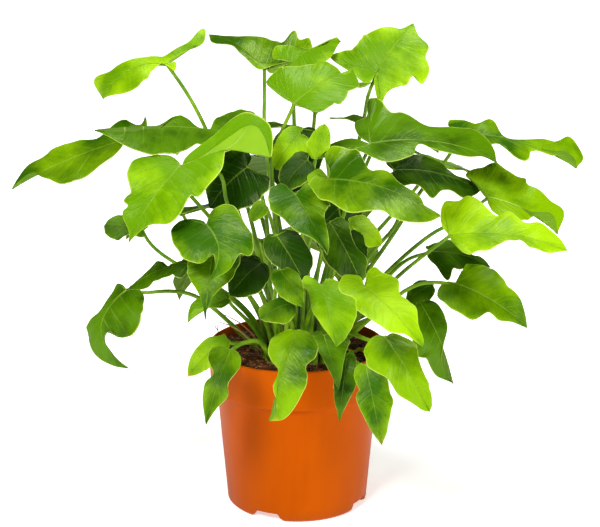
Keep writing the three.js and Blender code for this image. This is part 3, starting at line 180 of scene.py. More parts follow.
# Leaves, in points picked in the photograph. base is where the stalk meets the blade, tip the blade's
# point, each a pixel and a depth in millimetres, and face the way the upper side looks. left and right each
# hold the lobe, from the notch at the stalk round to the shoulder, and the edge, from there to the tip.
# arch lifts the midrib, fold raises the halves, droop lowers the margins, sway bends the midrib to its left.
# foot is where the stalk leaves the mix, bend shifts it midway, via is what it passes, from the blade down.
LEAVES = (
    dict(name="leaf_upper_left_curl", tone="light",
         base=(166, 64, 30), tip=(103, 99, 20), face=(-0.25, -0.45, 0.85),
         left=([(176, 63), (174, 70), (164, 64)], [(150, 71), (145, 78), (137, 89), (122, 93)]),
         right=([(180, 54), (187, 50), (203, 41), (204, 29), (186, 44), (171, 52)],
                [(150, 56), (128, 62), (110, 70), (94, 80)]),
         arch=0.22, fold=0, droop=0, via=[(186, 92, 25), (206, 128, 20)]),
    dict(name="leaf_top_back", tone="sheen",
         base=(265, 68, 75), tip=(208, 34, 115), face=(0.1, -0.42, 0.9),
         left=([(270, 74), (286, 68), (296, 60)], [(262, 70), (244, 56), (230, 47), (212, 42)]),
         right=([(284, 62), (304, 54), (312, 46), (310, 40), (299, 41), (293, 32), (282, 41)],
                [(268, 38), (239, 37), (222, 35)]),
         fold=0, droop=0, via=[(264, 100, 70), (264, 122, 60)]),
    dict(name="leaf_top_middle_back", tone="light",
         base=(292, 62, 45), tip=(341, 41, 75), face=(0, -0.35, 0.94),
         left=([(283, 60), (273, 57), (274, 50), (287, 45)], [(310, 48), (324, 45), (337, 37)]),
         right=([(284, 67), (275, 71), (284, 78)], [(310, 72), (328, 60)])),
    dict(name="leaf_top_middle_front", tone="light",
         base=(294, 104, -20), tip=(353, 70, 15), face=(0.05, -0.5, 0.85),
         left=([(284, 98), (266, 81), (276, 71), (283, 68)], [(309, 65), (322, 61), (336, 68), (346, 75)]),
         right=([(301, 107), (319, 111), (332, 105)], [(341, 103), (349, 92), (359, 85)]),
         via=[(279, 139, -18), (272, 163, -14)]),
    dict(name="leaf_left_upper_dark", tone="dark",
         base=(226, 131, 0), tip=(94, 130, -30), face=(-0.05, -0.33, 0.94),
         left=([(236, 138), (244, 146), (228, 150), (212, 149)],
               [(198, 146), (187, 148), (175, 154), (157, 154), (134, 146)]),
         right=([(240, 124), (257, 115), (254, 108), (242, 105), (229, 114), (216, 119)],
                [(207, 129), (188, 117), (180, 117), (164, 125), (150, 136), (131, 134)]),
         arch=0.04, fold=0, droop=0),
    dict(name="leaf_top_right_big", tone="light",
         base=(377, 72, 44), tip=(413, 23, 70), face=(0.05, -0.62, 0.78),
         left=([(367, 84), (350, 72), (330, 56), (345, 50), (354, 49)],
               [(361, 37), (369, 32), (388, 27), (401, 28)]),
         right=([(374, 80), (380, 105), (387, 93), (398, 87)],
                [(407, 85), (414, 76), (421, 83), (431, 72), (426, 57), (429, 46), (419, 36)]),
         via=[(368, 95, 46), (364, 118, 48)]),
    dict(name="leaf_right_long", tone="dark",
         base=(371, 144, -20), tip=(498, 162, -15), face=(0, -0.33, 0.94),
         left=([(358, 134), (356, 121), (367, 115), (368, 104), (373, 102), (387, 111)],
               [(403, 112), (429, 126), (452, 128), (474, 130), (493, 146)]),
         right=([(352, 137), (329, 144), (316, 158), (332, 154), (347, 148), (362, 152), (384, 158)],
                [(412, 154), (418, 144), (430, 148), (465, 157), (485, 155)]),
         fold=0, droop=0),
    dict(name="leaf_far_right_wavy", tone="middle",
         base=(462, 134, 40), tip=(577, 168, 24), face=(0.1, -0.42, 0.9),
         left=([(455, 128), (449, 123), (452, 116), (465, 120)],
               [(479, 125), (493, 119), (508, 137), (541, 137), (553, 141), (570, 138), (584, 157)]),
         right=([(459, 140), (468, 147), (482, 147)],
                [(500, 147), (514, 160), (528, 159), (532, 150), (552, 156), (564, 150), (574, 158)]),
         fold=0, droop=0, via=[(446, 160, 34), (420, 192, 24), (392, 235, 12)]),
    dict(name="leaf_right_middle_dark", tone="dark",
         base=(394, 170, 15), tip=(481, 191, 15), face=(0.05, -0.35, 0.93),
         left=([(386, 163), (391, 158), (404, 156)], [(419, 155), (442, 160), (453, 174), (471, 182)]),
         right=([(385, 178), (391, 186), (401, 187)],
                [(415, 186), (433, 197), (443, 190), (462, 199), (477, 194)]),
         via=[(398, 218, 4), (368, 259, -8)]),
    dict(name="leaf_right_middle_light", tone="middle",
         base=(488, 197, -5), tip=(558, 234, -20), face=(0.2, -0.4, 0.9),
         left=([(480, 187), (466, 173), (483, 167), (494, 164)],
               [(511, 172), (525, 176), (528, 185), (547, 197), (563, 212)]),
         right=([(488, 204), (494, 211), (508, 219)], [(524, 220), (538, 213), (552, 215)]),
         fold=0, droop=0, via=[(455, 222, -10), (432, 234, -16), (386, 273, -24)]),
    dict(name="leaf_centre_big", tone="sheen",
         base=(328, 179, -95), tip=(440, 215, -125), face=(0.05, -0.55, 0.83),
         left=([(331, 174), (328, 165), (325, 155), (330, 147), (346, 149)],
               [(357, 149), (370, 165), (389, 171), (400, 187), (419, 195), (429, 211)]),
         right=([(324, 174), (318, 171), (308, 177), (310, 187), (315, 196)],
                [(328, 201), (352, 211), (384, 212), (394, 220), (415, 221), (428, 219)]),
         foot=(-0.007, -0.026), bend=(-0.008, -0.006, -0.01)),
    dict(name="leaf_right_bright", tone="light",
         base=(449, 235, -45), tip=(568, 251, -60), face=(0.1, -0.5, 0.85),
         left=([(443, 227), (440, 213), (447, 199), (456, 202), (465, 199)],
               [(479, 200), (496, 215), (508, 211), (524, 225), (543, 224), (560, 238)]),
         right=([(453, 241), (466, 251), (478, 249)],
                [(492, 248), (506, 239), (518, 240), (532, 248), (550, 251)]),
         via=[(420, 258, -38), (397, 277, -32)]),
    dict(name="leaf_centre_small", tone="light",
         base=(350, 224, -58), tip=(381, 246, -70), face=(0, -0.6, 0.8),
         left=([(348, 219), (358, 215), (367, 217)], [(375, 226), (382, 238)]),
         right=([(346, 227), (350, 230), (356, 230)], [(363, 235), (367, 246)])),
    dict(name="leaf_centre_dark", tone="dark",
         base=(331, 222, -62), tip=(361, 283, -78), face=(0, -0.8, 0.6),
         left=([(340, 217), (348, 222), (350, 232)], [(356, 245), (367, 258), (366, 272)]),
         right=([(324, 224), (317, 236), (321, 250)], [(330, 266), (345, 279)])),
    dict(name="leaf_centre_arrow", tone="middle",
         base=(296, 195, -88), tip=(328, 255, -112), face=(0, -0.75, 0.66),
         left=([(298, 191), (307, 183), (318, 190), (329, 205)], [(325, 211), (327, 230), (329, 246)]),
         right=([(290, 187), (281, 182), (271, 186), (268, 197)],
                [(270, 208), (284, 219), (292, 229), (314, 240), (323, 249)]),
         fold=0.15),
    dict(name="leaf_lower_centre_light", tone="light",
         base=(321, 285, -88), tip=(337, 347, -102), face=(0, -0.8, 0.6),
         left=([(327, 279), (336, 280), (349, 286), (357, 298)], [(357, 310), (353, 325), (346, 338)]),
         right=([(316, 280), (306, 275), (302, 285)], [(308, 292), (312, 310), (323, 327), (331, 338)])),
    dict(name="leaf_lower_right_light", tone="light",
         base=(365, 288, -128), tip=(423, 347, -150), face=(0.1, -0.7, 0.7),
         left=([(366, 280), (368, 272), (374, 267), (381, 272)],
               [(397, 279), (401, 294), (409, 301), (416, 309), (419, 325), (424, 340)]),
         right=([(363, 282), (358, 275), (344, 275), (339, 284), (342, 293)],
                [(355, 298), (357, 309), (378, 323), (388, 332), (406, 335), (416, 342)]),
         bend=(0.02, 0.004, 0)),
    dict(name="leaf_right_low", tone="middle",
         base=(456, 284, -45), tip=(528, 328, -60), face=(0.1, -0.65, 0.75),
         left=([(459, 276), (463, 269), (467, 263), (477, 264)],
               [(490, 267), (503, 277), (506, 285), (520, 299), (525, 313)]),
         right=([(449, 281), (441, 285), (437, 295), (441, 303)],
                [(456, 312), (474, 319), (489, 313), (497, 320), (512, 322)]),
         via=[(428, 282, -46), (410, 288, -44)]),
    dict(name="leaf_right_low_back", tone="dark",
         base=(430, 251, 5), tip=(491, 267, 12), face=(0.05, -0.5, 0.86),
         left=([(425, 247), (434, 242), (449, 241)], [(465, 249), (473, 255), (484, 259)]),
         right=([(427, 258), (435, 264), (448, 281), (454, 268)], [(465, 268), (478, 269)]),
         via=[(405, 262, 0)]),
    dict(name="leaf_right_small", tone="middle",
         base=(432, 284, 12), tip=(405, 304, 6), face=(0, -0.6, 0.8),
         left=([(435, 290), (430, 300)], [(416, 306)]),
         right=([(428, 280), (416, 282)], [(408, 290)])),
    dict(name="leaf_right_hanging", tone="dark",
         base=(421, 304, -20), tip=(452, 384, -34), face=(0.35, -0.75, 0.55),
         left=([(424, 300), (430, 299), (437, 303)], [(445, 314), (449, 327), (441, 355), (445, 373)]),
         right=([(417, 302), (415, 308), (413, 320)], [(412, 338), (418, 356), (426, 359), (436, 375)])),
    dict(name="leaf_front_right", tone="middle",
         base=(385, 337, -112), tip=(430, 412, -128), face=(0.1, -0.85, 0.5),
         left=([(392, 333), (405, 336), (416, 344)], [(419, 357), (427, 379), (430, 392), (432, 405)]),
         right=([(379, 335), (371, 339), (364, 349), (365, 359)],
                [(371, 369), (387, 378), (398, 395), (412, 404), (423, 411)])),
    dict(name="leaf_front_right_low", tone="middle",
         base=(366, 366, -92), tip=(382, 445, -102), face=(0, -0.92, 0.4),
         left=([(371, 363), (382, 373), (388, 380)], [(389, 390), (393, 401), (390, 417), (387, 432)]),
         right=([(361, 363), (355, 369), (355, 381)], [(359, 390), (356, 398), (364, 417), (373, 433)])),
    dict(name="leaf_front_narrow_upper", tone="dark",
         base=(324, 335, -84), tip=(339, 391, -92), face=(0.1, -0.85, 0.5),
         left=([(330, 332), (342, 336), (350, 341)], [(347, 349), (343, 366), (341, 380)]),
         right=([(319, 331), (313, 333), (316, 341)], [(319, 350), (325, 363), (333, 378)])),
    dict(name="leaf_front_narrow_lower", tone="dark",
         base=(348, 354, -82), tip=(339, 423, -88), face=(-0.1, -0.9, 0.45),
         left=([(351, 350), (355, 356)], [(357, 366), (356, 387), (350, 398), (343, 412)]),
         right=([(343, 354), (336, 364)], [(334, 387), (334, 398), (337, 411)])),
    dict(name="leaf_front_centre", tone="middle",
         base=(295, 331, -104), tip=(269, 422, -122), face=(-0.05, -0.88, 0.47),
         left=([(299, 330), (306, 331), (314, 337), (318, 346)],
               [(316, 357), (307, 366), (308, 378), (303, 394), (284, 418)]),
         right=([(290, 330), (284, 331), (274, 336), (268, 346)],
                [(270, 360), (278, 370), (273, 386), (277, 402), (276, 415)])),
    dict(name="leaf_front_left_yellow", tone="light",
         base=(226, 339, -68), tip=(187, 378, -84), face=(-0.2, -0.75, 0.6),
         left=([(230, 341), (227, 350)], [(210, 366), (198, 374)]),
         right=([(224, 334), (217, 336)], [(205, 339), (195, 350), (188, 367)])),
    dict(name="leaf_front_left", tone="middle",
         base=(230, 350, -90), tip=(206, 425, -104), face=(-0.15, -0.88, 0.45),
         left=([(236, 351), (241, 359), (239, 370)], [(228, 384), (228, 396), (216, 409)]),
         right=([(222, 346), (211, 348), (208, 358)], [(213, 374), (205, 382), (203, 397), (204, 415)]),
         via=[(243, 343, -84), (257, 341, -72)]),
    dict(name="leaf_left_low_dark", tone="dark",
         base=(126, 290, -20), tip=(129, 368, -35), face=(-0.4, -0.7, 0.6),
         left=([(131, 285), (138, 288), (144, 297), (144, 306)],
               [(142, 316), (132, 335), (119, 338), (110, 331), (104, 339), (116, 358)]),
         right=([(122, 285), (115, 284), (107, 298)],
                [(99, 313), (86, 326), (86, 334), (91, 350), (101, 360), (114, 366)]),
         sway=-0.33, via=[(142, 292, -20), (172, 291, -20), (196, 297, -21)]),
    dict(name="leaf_left_narrow", tone="dark",
         base=(189, 262, -40), tip=(126, 290, -45), face=(-0.1, -0.5, 0.86),
         left=([(188, 270), (179, 278)], [(171, 275), (157, 279), (146, 287)]),
         right=([(188, 257), (180, 262)], [(169, 266), (161, 261), (147, 271)])),
    dict(name="leaf_left_small_dark", tone="dark",
         base=(143, 230, -5), tip=(103, 226, -12), face=(-0.1, -0.6, 0.8),
         left=([(146, 235), (138, 237)], [(127, 235), (117, 241), (106, 234)]),
         right=([(148, 226), (143, 221)], [(133, 216), (122, 215), (109, 219)])),
    dict(name="leaf_left_long", tone="sheen",
         base=(142, 136, 30), tip=(12, 189, 25), face=(-0.1, -0.33, 0.93),
         left=([(152, 141), (147, 150), (137, 148)],
               [(127, 145), (103, 161), (78, 177), (65, 185), (46, 179), (31, 174)]),
         right=([(148, 129), (145, 119), (141, 125), (132, 125)],
                [(123, 122), (96, 136), (67, 145), (50, 152), (27, 166)]),
         arch=0.05),
    dict(name="leaf_left_bright", tone="light",
         base=(181, 166, -65), tip=(128, 243, -90), face=(-0.1, -0.55, 0.83),
         left=([(185, 158), (210, 139), (232, 121), (249, 113), (263, 118), (272, 132),
                (272, 157), (266, 137), (253, 127), (240, 131), (226, 147), (222, 168)],
               [(211, 183), (198, 196), (191, 195), (180, 215), (169, 223), (149, 225), (137, 234)]),
         right=([(177, 160), (169, 156), (145, 155), (133, 158), (126, 172)],
                [(130, 192), (123, 199), (127, 206), (123, 214), (128, 232)]),
         droop=0.1, via=[(218, 173, -58), (227, 203, -50)]),
    dict(name="leaf_left_heart", tone="middle",
         base=(207, 225, -85), tip=(209, 281, -102), face=(0, -0.72, 0.7),
         left=([(209, 216), (215, 208), (226, 204), (236, 208)],
               [(249, 230), (254, 242), (250, 256), (241, 254), (230, 268), (219, 276)]),
         right=([(203, 221), (187, 219), (176, 223), (170, 232)],
                [(173, 244), (182, 256), (200, 263), (213, 254), (215, 265), (212, 274)]),
         sway=0.18, bend=(0.004, -0.01, 0)),
    dict(name="leaf_left_under_heart", tone="middle",
         base=(213, 256, -80), tip=(205, 320, -96), face=(-0.1, -0.8, 0.6),
         left=([(221, 250), (234, 248), (241, 255)], [(238, 266), (230, 280), (216, 293), (208, 305)]),
         right=([(205, 251), (195, 251), (189, 257)], [(187, 268), (189, 278), (196, 289), (202, 302)])),
    dict(name="leaf_left_yellow_small", tone="light",
         base=(227, 298, -42), tip=(187, 322, -55), face=(-0.1, -0.6, 0.8),
         left=([(230, 302), (222, 308)], [(206, 308), (194, 310)]),
         right=([(229, 293), (221, 291)], [(208, 295), (196, 299), (189, 309)])),
    dict(name="leaf_inner_left_dark", tone="dark",
         base=(247, 168, -26), tip=(210, 208, -30), face=(-0.1, -0.6, 0.8),
         left=([(256, 174), (270, 178), (266, 194)], [(245, 208), (225, 212)]),
         right=([(252, 158), (240, 148), (222, 152)], [(210, 166), (205, 186)])),
    dict(name="leaf_inner_top_yellow", tone="light",
         base=(300, 134, -30), tip=(276, 170, -45), face=(-0.1, -0.6, 0.8),
         left=([(307, 137), (314, 144), (308, 156)], [(297, 164), (286, 171)]),
         right=([(303, 128), (294, 125), (284, 130)], [(275, 143), (272, 158)])),
    dict(name="leaf_inner_top_dark", tone="dark",
         base=(308, 160, -52), tip=(284, 187, -66), face=(-0.1, -0.6, 0.8),
         left=([(314, 165), (314, 176), (306, 182)], [(298, 187), (290, 190)]),
         right=([(309, 154), (300, 151), (290, 157)], [(281, 168), (279, 180)])),
    dict(name="leaf_inner_new", tone="light",
         base=(316, 160, -46), tip=(325, 124, -40), face=(0.1, -0.9, 0.4),
         left=([(310, 156), (306, 146)], [(312, 134), (319, 126)]),
         right=([(322, 154), (329, 148)], [(331, 137), (329, 128)])),
    dict(name="leaf_inner_small", tone="middle",
         base=(264, 204, -55), tip=(251, 222, -62), face=(-0.1, -0.6, 0.8),
         left=([(268, 208), (267, 214)], [(261, 218), (256, 221)]),
         right=([(262, 200), (256, 202)], [(250, 209), (249, 216)])),
    dict(name="leaf_middle_hanging_dark", tone="dark",
         base=(276, 236, -78), tip=(303, 281, -85), face=(0, -0.75, 0.66),
         left=([(282, 230), (296, 232), (306, 243)], [(313, 257), (310, 272)]),
         right=([(269, 234), (263, 244), (267, 257)], [(278, 268), (291, 278)])),
    dict(name="leaf_middle_left_dark", tone="dark",
         base=(262, 262, -62), tip=(230, 295, -76), face=(-0.1, -0.7, 0.7),
         left=([(268, 266), (269, 278), (263, 288)], [(252, 295), (240, 298)]),
         right=([(257, 256), (244, 256), (234, 266)], [(229, 278), (228, 288)])),
    dict(name="leaf_middle_yellow_tip", tone="middle",
         base=(280, 270, -97), tip=(303, 306, -108), face=(0, -0.75, 0.66),
         left=([(287, 267), (297, 272), (302, 282)], [(304, 292), (304, 300)]),
         right=([(274, 269), (271, 278), (274, 288)], [(283, 298), (294, 304)]),
         foot=(-0.015, -0.031), bend=(-0.005, 0, 0)),
    dict(name="leaf_middle_olive", tone="middle",
         base=(291, 303, -88), tip=(259, 319, -102), face=(0, -0.55, 0.83),
         left=([(296, 308), (294, 317)], [(284, 323), (270, 323)]),
         right=([(290, 298), (280, 298)], [(268, 302), (259, 309)])),
    # Painted shade: the two inner shade leaves are dark leaves filling the plant's shaded middle.
    dict(name="leaf_inner_shade_right", tone="dark",
         base=(338, 203, 22), tip=(352, 284, 2), face=(0.05, -0.85, 0.5),
         left=([(348, 200), (360, 210), (366, 225)], [(368, 246), (366, 262), (360, 276)]),
         right=([(326, 199), (314, 206), (309, 222)], [(313, 240), (326, 258), (340, 274)]),
         bend=(0.005, 0.003, 0)),
    dict(name="leaf_inner_shade_top", tone="dark",
         base=(300, 128, 6), tip=(288, 196, -6), face=(0, -0.85, 0.5),
         left=([(312, 127), (321, 137), (324, 151)], [(320, 168), (307, 186)]),
         right=([(288, 126), (277, 134), (270, 148)], [(269, 165), (275, 183)])),
)

# Stage. Each light has a name, a place, a size and a power. The camera stands at PHOTO_EYE, and
# CAMERA_TURN is a right angle less PHOTO_TILT.
STAGE_RADIUS = 40
STAGE_STEPS = 96
LIT_MIDDLE = (0, 0, 0.2)
LIGHTS = (
    ("key", (-0.8, -1.9, 1.9), 0.7, 66),
    ("fill", (1.9, -1.3, 0.8), 1.0, 24),
    ("top", (0.2, 0.2, 2.1), 0.9, 34),
)
WORLD_GLOW = 0.05
CAMERA_TURN = math.radians(73.6)
CAMERA_LENS = 120
CAMERA_REACH = 100

# Rear leaves share three plain outlines, turned about the pot's axis.
OUTLINES = (
    (((-0.1, 0.1), (-0.24, 0.26), (-0.2, 0.42), (0, 0.48)),
     ((0.2, 0.42), (0.38, 0.3), (0.55, 0.31), (0.8, 0.15))),
    (((-0.12, 0.14), (-0.16, 0.34), (0, 0.5)),
     ((0.22, 0.5), (0.46, 0.36), (0.62, 0.3), (0.84, 0.1))),
    (((-0.16, 0.12), (-0.3, 0.34), (-0.16, 0.55), (0.04, 0.46)),
     ((0.22, 0.5), (0.4, 0.27), (0.6, 0.27), (0.82, 0.12))),
)

# Name, tone, azimuth in degrees from +X, reach and height of the base, length, downward slope and turn.
REAR_LEAVES = (
    ("top", "light", 80, 0.092, 0.318, 0.084, 28, 10),
    ("top_left", "middle", 120, 0.1, 0.28, 0.092, 22, 8),
    ("top_right", "middle", 52, 0.112, 0.286, 0.08, 26, -6),
    ("middle", "dark", 100, 0.128, 0.25, 0.082, 34, -6),
    ("left", "dark", 158, 0.098, 0.226, 0.078, 26, -22),
    ("right", "dark", 72, 0.124, 0.226, 0.074, 44, 6),
    ("far_right", "light", 30, 0.128, 0.262, 0.07, 34, -6),
    ("low", "light", 106, 0.108, 0.186, 0.072, 52, 4),
    ("low_left", "middle", 140, 0.092, 0.188, 0.06, 54, 0),
    ("low_right", "middle", 70, 0.096, 0.186, 0.064, 56, 4),
)

# Leaves whose tips have dried, and how far.
DRY_TIPS = {"leaf_front_left_yellow": 1, "leaf_front_centre": 0.5, "leaf_front_right_low": 0.35}

# Leaves lighter or darker than their tone, and how much: part own colour, part painted light and shade.
TINTS_AND_PAINTED_LIGHT = {
    "leaf_centre_arrow": -0.35,
    "leaf_centre_dark": -0.3,
    "leaf_front_centre": 0.25,
    "leaf_front_narrow_lower": 0.3,
    "leaf_front_narrow_upper": 0.3,
    "leaf_front_right": 0.75,
    "leaf_inner_left_dark": -0.8,
    "leaf_inner_shade_right": -0.6,
    "leaf_inner_shade_top": -0.7,
    "leaf_inner_top_dark": -0.5,
    "leaf_left_bright": -0.35,
    "leaf_left_heart": -0.2,
    "leaf_left_low_dark": 0.6,
    "leaf_left_upper_dark": 0.6,
    "leaf_lower_right_light": 0.2,
    "leaf_middle_hanging_dark": -0.5,
    "leaf_middle_left_dark": -0.6,
    "leaf_right_bright": 0.5,
    "leaf_right_hanging": 0.5,
    "leaf_right_long": 0.5,
    "leaf_right_low": 0.2,
    "leaf_right_middle_light": 0.9,
    "leaf_top_middle_front": -0.55,
    "leaf_top_middle_back": -0.3,
    "leaf_top_right_big": -0.1,
}

# Each tone's shaded and lit green, as the eye sees them, and how blurred its gloss is.
TONES = {
    "light": ("#5e8e00", "#9cc808", 0.35),
    "middle": ("#2e5c00", "#7ca800", 0.34),
    "dark": ("#183a00", "#507c00", 0.33),
    "sheen": ("#305a00", "#78a204", 0.31),
}


class Value:
    """A shader socket that takes part in sums."""

    def __init__(self, paint, socket):
        self.paint = paint
        self.socket = socket

    def sum(self, operation, *terms):
        return self.paint.node("ShaderNodeMath", {"operation": operation}, terms)

    def __add__(self, other):
        return self.sum("ADD", self, other)

    def __sub__(self, other):
        return self.sum("SUBTRACT", self, other)

    def __rsub__(self, other):
        return self.sum("SUBTRACT", other, self)

    def __mul__(self, other):
        return self.sum("MULTIPLY", self, other)

    def __truediv__(self, other):
        return self.sum("DIVIDE", self, other)

    def __pow__(self, other):
        return self.sum("POWER", self, other)

    def __abs__(self):
        return self.sum("ABSOLUTE", self)

    __radd__ = __add__
    __rmul__ = __mul__

    def part(self):
        return self.sum("FRACT", self)

    def held(self):
        return self.paint.node("ShaderNodeClamp", {}, (self,))


class Paint:
    """One procedural material, made of nodes."""

    def __init__(self, name):
        self.material = bpy.data.materials.new(name)
        self.material.use_nodes = True
        self.tree = self.material.node_tree
        self.tree.nodes.clear()
        self.where = self.node("ShaderNodeTexCoord", output="Object")

    def node(self, kind, settings=None, values=(), output=0):
        made = self.tree.nodes.new(kind)
        for name, setting in (settings or {}).items():
            setattr(made, name, setting)
        places = values.items() if isinstance(values, dict) else enumerate(values)
        for place, value in places:
            if isinstance(value, Value):
                self.tree.links.new(value.socket, made.inputs[place])
            else:
                made.inputs[place].default_value = value
        return Value(self, made.outputs[output])

    def mix(self, mask, low, high):
        values = {0: mask, 6: low, 7: high}
        return self.node("ShaderNodeMix", {"data_type": "RGBA"}, values, output=2)

    def noise(self, scale, detail=2, where=None, stretch=None):
        if stretch:
            where = self.node("ShaderNodeMapping", {}, {"Vector": where or self.where, "Scale": stretch})
        values = {"Vector": where or self.where, "Scale": scale, "Detail": detail}
        return self.node("ShaderNodeTexNoise", {}, values)

    def attribute(self, name):
        return self.node("ShaderNodeAttribute", {"attribute_name": name}, output="Fac")

    def bump(self, height, distance, strength=1):
        values = {"Strength": strength, "Distance": distance, "Height": height}
        return self.node("ShaderNodeBump", {}, values)

    def shell(self, **values):
        named = {name.replace("_", " "): value for name, value in values.items()}
        return self.node("ShaderNodeBsdfPrincipled", {}, named)

    def done(self, shader):
        end = self.tree.nodes.new("ShaderNodeOutputMaterial")
        self.tree.links.new(shader.socket, end.inputs["Surface"])
        return self.material


def colour(code):
    """A colour given as the eye sees it, in the linear values that a shader takes."""
    parts = [int(code[i:i + 2], 16) / 255 for i in (1, 3, 5)]
    return (*(p / 12.92 if p < 0.04045 else ((p + 0.055) / 1.055) ** 2.4 for p in parts), 1)


# Materials

def leaf_pattern(paint):
    """Where a point lies on a blade: the way to the tip, the way to the margin, and the veins."""
    spot = paint.node("ShaderNodeUVMap", {"uv_map": "blade"})
    along = paint.node("ShaderNodeSeparateXYZ", {}, (spot,))
    out = abs(paint.node("ShaderNodeSeparateXYZ", {}, (spot,), output=1))
    wander = paint.noise(60, 1) * 0.1
    turn = (along * SIDE_VEINS - out * VEIN_SWEEP + wander).part()
    side_vein = (1 - abs(turn - 0.5) * 2 / (0.13 - out * 0.09)).held() * (1 - out ** 3)
    midrib = (1 - out / 0.045).held()
    return along, out, side_vein, midrib


def fan_streaks(paint, along, out):
    """Fine streaks that fan out from the midrib to the margin."""
    spot = paint.node("ShaderNodeCombineXYZ", {}, (along * 24 - out * 4, out * 1.6))
    return paint.noise(1, 3, spot)


def blade_upper(tone):
    shaded, lit, blur = TONES[tone]
    paint = Paint("leaf_" + tone + "_upper")
    along, out, side_vein, midrib = leaf_pattern(paint)
    broad = paint.noise(26, 3)
    fine = paint.noise(420, 2)
    streak = fan_streaks(paint, along, out)
    # Painted light and shade: broad patches, streaks, tint and margin mix the shaded and lit greens.
    painted_light = (broad - 0.5) * 3.4 + (fine - 0.5) * 0.3 + (streak - 0.5) * 0.5 + paint.attribute("tint_and_painted_light")
    painted_light = (painted_light + out ** 2 * 0.35 + 0.24).held()
    green = paint.mix(painted_light, colour(shaded), colour(lit))
    green = paint.mix(side_vein * 0.1, green, colour("#b0d63a"))
    green = paint.mix(midrib * 0.28, green, colour("#aed04a"))
    margin = ((out - 0.966) / 0.02).held()
    green = paint.mix(margin * 0.55, green, colour("#cfe060"))
    dry = ((along - 0.86) / 0.14).held() * paint.attribute("dry")
    green = paint.mix(dry, green, colour("#d9c23a"))
    green = paint.mix(((along - 0.97) / 0.03).held() * paint.attribute("dry"), green, colour("#6b4420"))
    relief = fine * 0.15 + streak * 1.0 - side_vein * 0.2 - midrib * 0.6 + paint.noise(110, 2) * 0.8
    skin = paint.shell(Base_Color=green, Roughness=broad * 0.2 + (blur - 0.1), Specular_IOR_Level=0.17,
                       Specular_Tint=colour("#f2f8c0"), Normal=paint.bump(relief, 0.0012, 0.6))
    glow = paint.node("ShaderNodeBsdfTranslucent", {}, {"Color": colour(shaded)})
    return paint.done(paint.node("ShaderNodeMixShader", {}, (0.15, skin, glow)))


def blade_under(tone):
    shaded, lit, _ = TONES[tone]
    paint = Paint("leaf_" + tone + "_under")
    along, out, side_vein, midrib = leaf_pattern(paint)
    broad = paint.noise(40, 2)
    # Painted light and shade: broad patches mix the tone's shaded and lit greens.
    green = paint.mix((broad - 0.2).held(), colour(shaded), colour(lit))
    green = paint.mix(0.22, green, colour("#8fb33e"))
    green = paint.mix(side_vein * 0.5, green, colour("#b9cf74"))
    relief = side_vein * 0.8 + midrib + paint.noise(500, 2) * 0.15
    skin = paint.shell(Base_Color=green, Roughness=broad * 0.15 + 0.5, Specular_IOR_Level=0.08,
                       Normal=paint.bump(relief, 0.0006, 0.6))
    glow = paint.node("ShaderNodeBsdfTranslucent", {}, {"Color": colour(shaded)})
    return paint.done(paint.node("ShaderNodeMixShader", {}, (0.15, skin, glow)))


def stalk_skin():
    """Stalks are pale where they sheathe each other, green above, with fine lengthwise lines."""
    paint = Paint("leaf_stalk")
    spot = paint.node("ShaderNodeUVMap", {"uv_map": "blade"})
    along = paint.node("ShaderNodeSeparateXYZ", {}, (spot,))
    round_it = paint.node("ShaderNodeSeparateXYZ", {}, (spot,), output=1)
    lines = abs((round_it * 12 + paint.noise(90, 1) * 0.6).part() - 0.5) * 2
    blotch = paint.noise(70, 3)
    green = paint.mix(((blotch - 0.35) * 2).held(), colour("#4a7404"), colour("#8cb01c"))
    green = paint.mix(lines * 0.22, green, colour("#3f6a0c"))
    foot = (1 - along / 0.2).held()
    green = paint.mix(foot * 0.6, green, colour("#a8b860"))
    relief = lines * 0.4 + paint.noise(600, 1) * 0.2
    return paint.done(paint.shell(Base_Color=green, Roughness=blotch * 0.2 + 0.34, Specular_IOR_Level=0.15,
                                  Normal=paint.bump(relief, 0.0004, 0.5)))


def pot_plastic():
    """Moulded orange plastic: fine grain, a few darker upright streaks and browner patches towards the foot.
    """
    paint = Paint("pot_plastic")
    height = paint.node("ShaderNodeSeparateXYZ", {}, (paint.where,), output=2)
    cloud = paint.noise(14, 3)
    streak = paint.noise(60, 3, stretch=(1, 1, 0.12))
    grain = paint.noise(1400, 2)
    orange = paint.mix((cloud * 1.6 - 0.3).held(), colour("#a44200"), colour("#b44f00"))
    orange = paint.mix(((streak - 0.52) * 1.4).held(), orange, colour("#9c3c00"))
    low = (1 - height / 0.012).held()
    orange = paint.mix(low * cloud * 0.5, orange, colour("#8f4a1c"))
    relief = grain * 0.25 + streak * 0.35
    return paint.done(paint.shell(Base_Color=orange, Roughness=streak * 0.22 + 0.34, Specular_IOR_Level=0.08,
                                  Specular_Tint=colour("#ffa860"), Normal=paint.bump(relief, 0.0002, 0.5)))


def mix_earth():
    paint = Paint("mix_earth")
    clod = paint.noise(170, 4)
    speck = paint.noise(900, 3)
    brown = paint.mix((clod * 1.8 - 0.4).held(), colour("#1a0c04"), colour("#583014"))
    brown = paint.mix(((speck - 0.6) * 5).held(), brown, colour("#6d4022"))
    return paint.done(paint.shell(Base_Color=brown, Roughness=clod * 0.2 + 0.72, Specular_IOR_Level=0.25,
                                  Normal=paint.bump(clod + speck * 0.5, 0.0022, 0.9)))


def mix_bits():
    """Bark, coir and peat: each bit has its own shade, from nearly black through red brown to tan."""
    paint = Paint("mix_bits")
    speck = paint.noise(1100, 3)
    shade = (paint.attribute("tint_and_painted_light") + (speck - 0.5) * 0.4).held()
    brown = paint.mix((shade * 2).held(), colour("#1e0e05"), colour("#6a3616"))
    brown = paint.mix((shade * 2 - 1).held(), brown, colour("#ab7a46"))
    return paint.done(paint.shell(Base_Color=brown, Roughness=speck * 0.3 + 0.6, Specular_IOR_Level=0.25,
                                  Normal=paint.bump(speck, 0.0008, 0.8)))


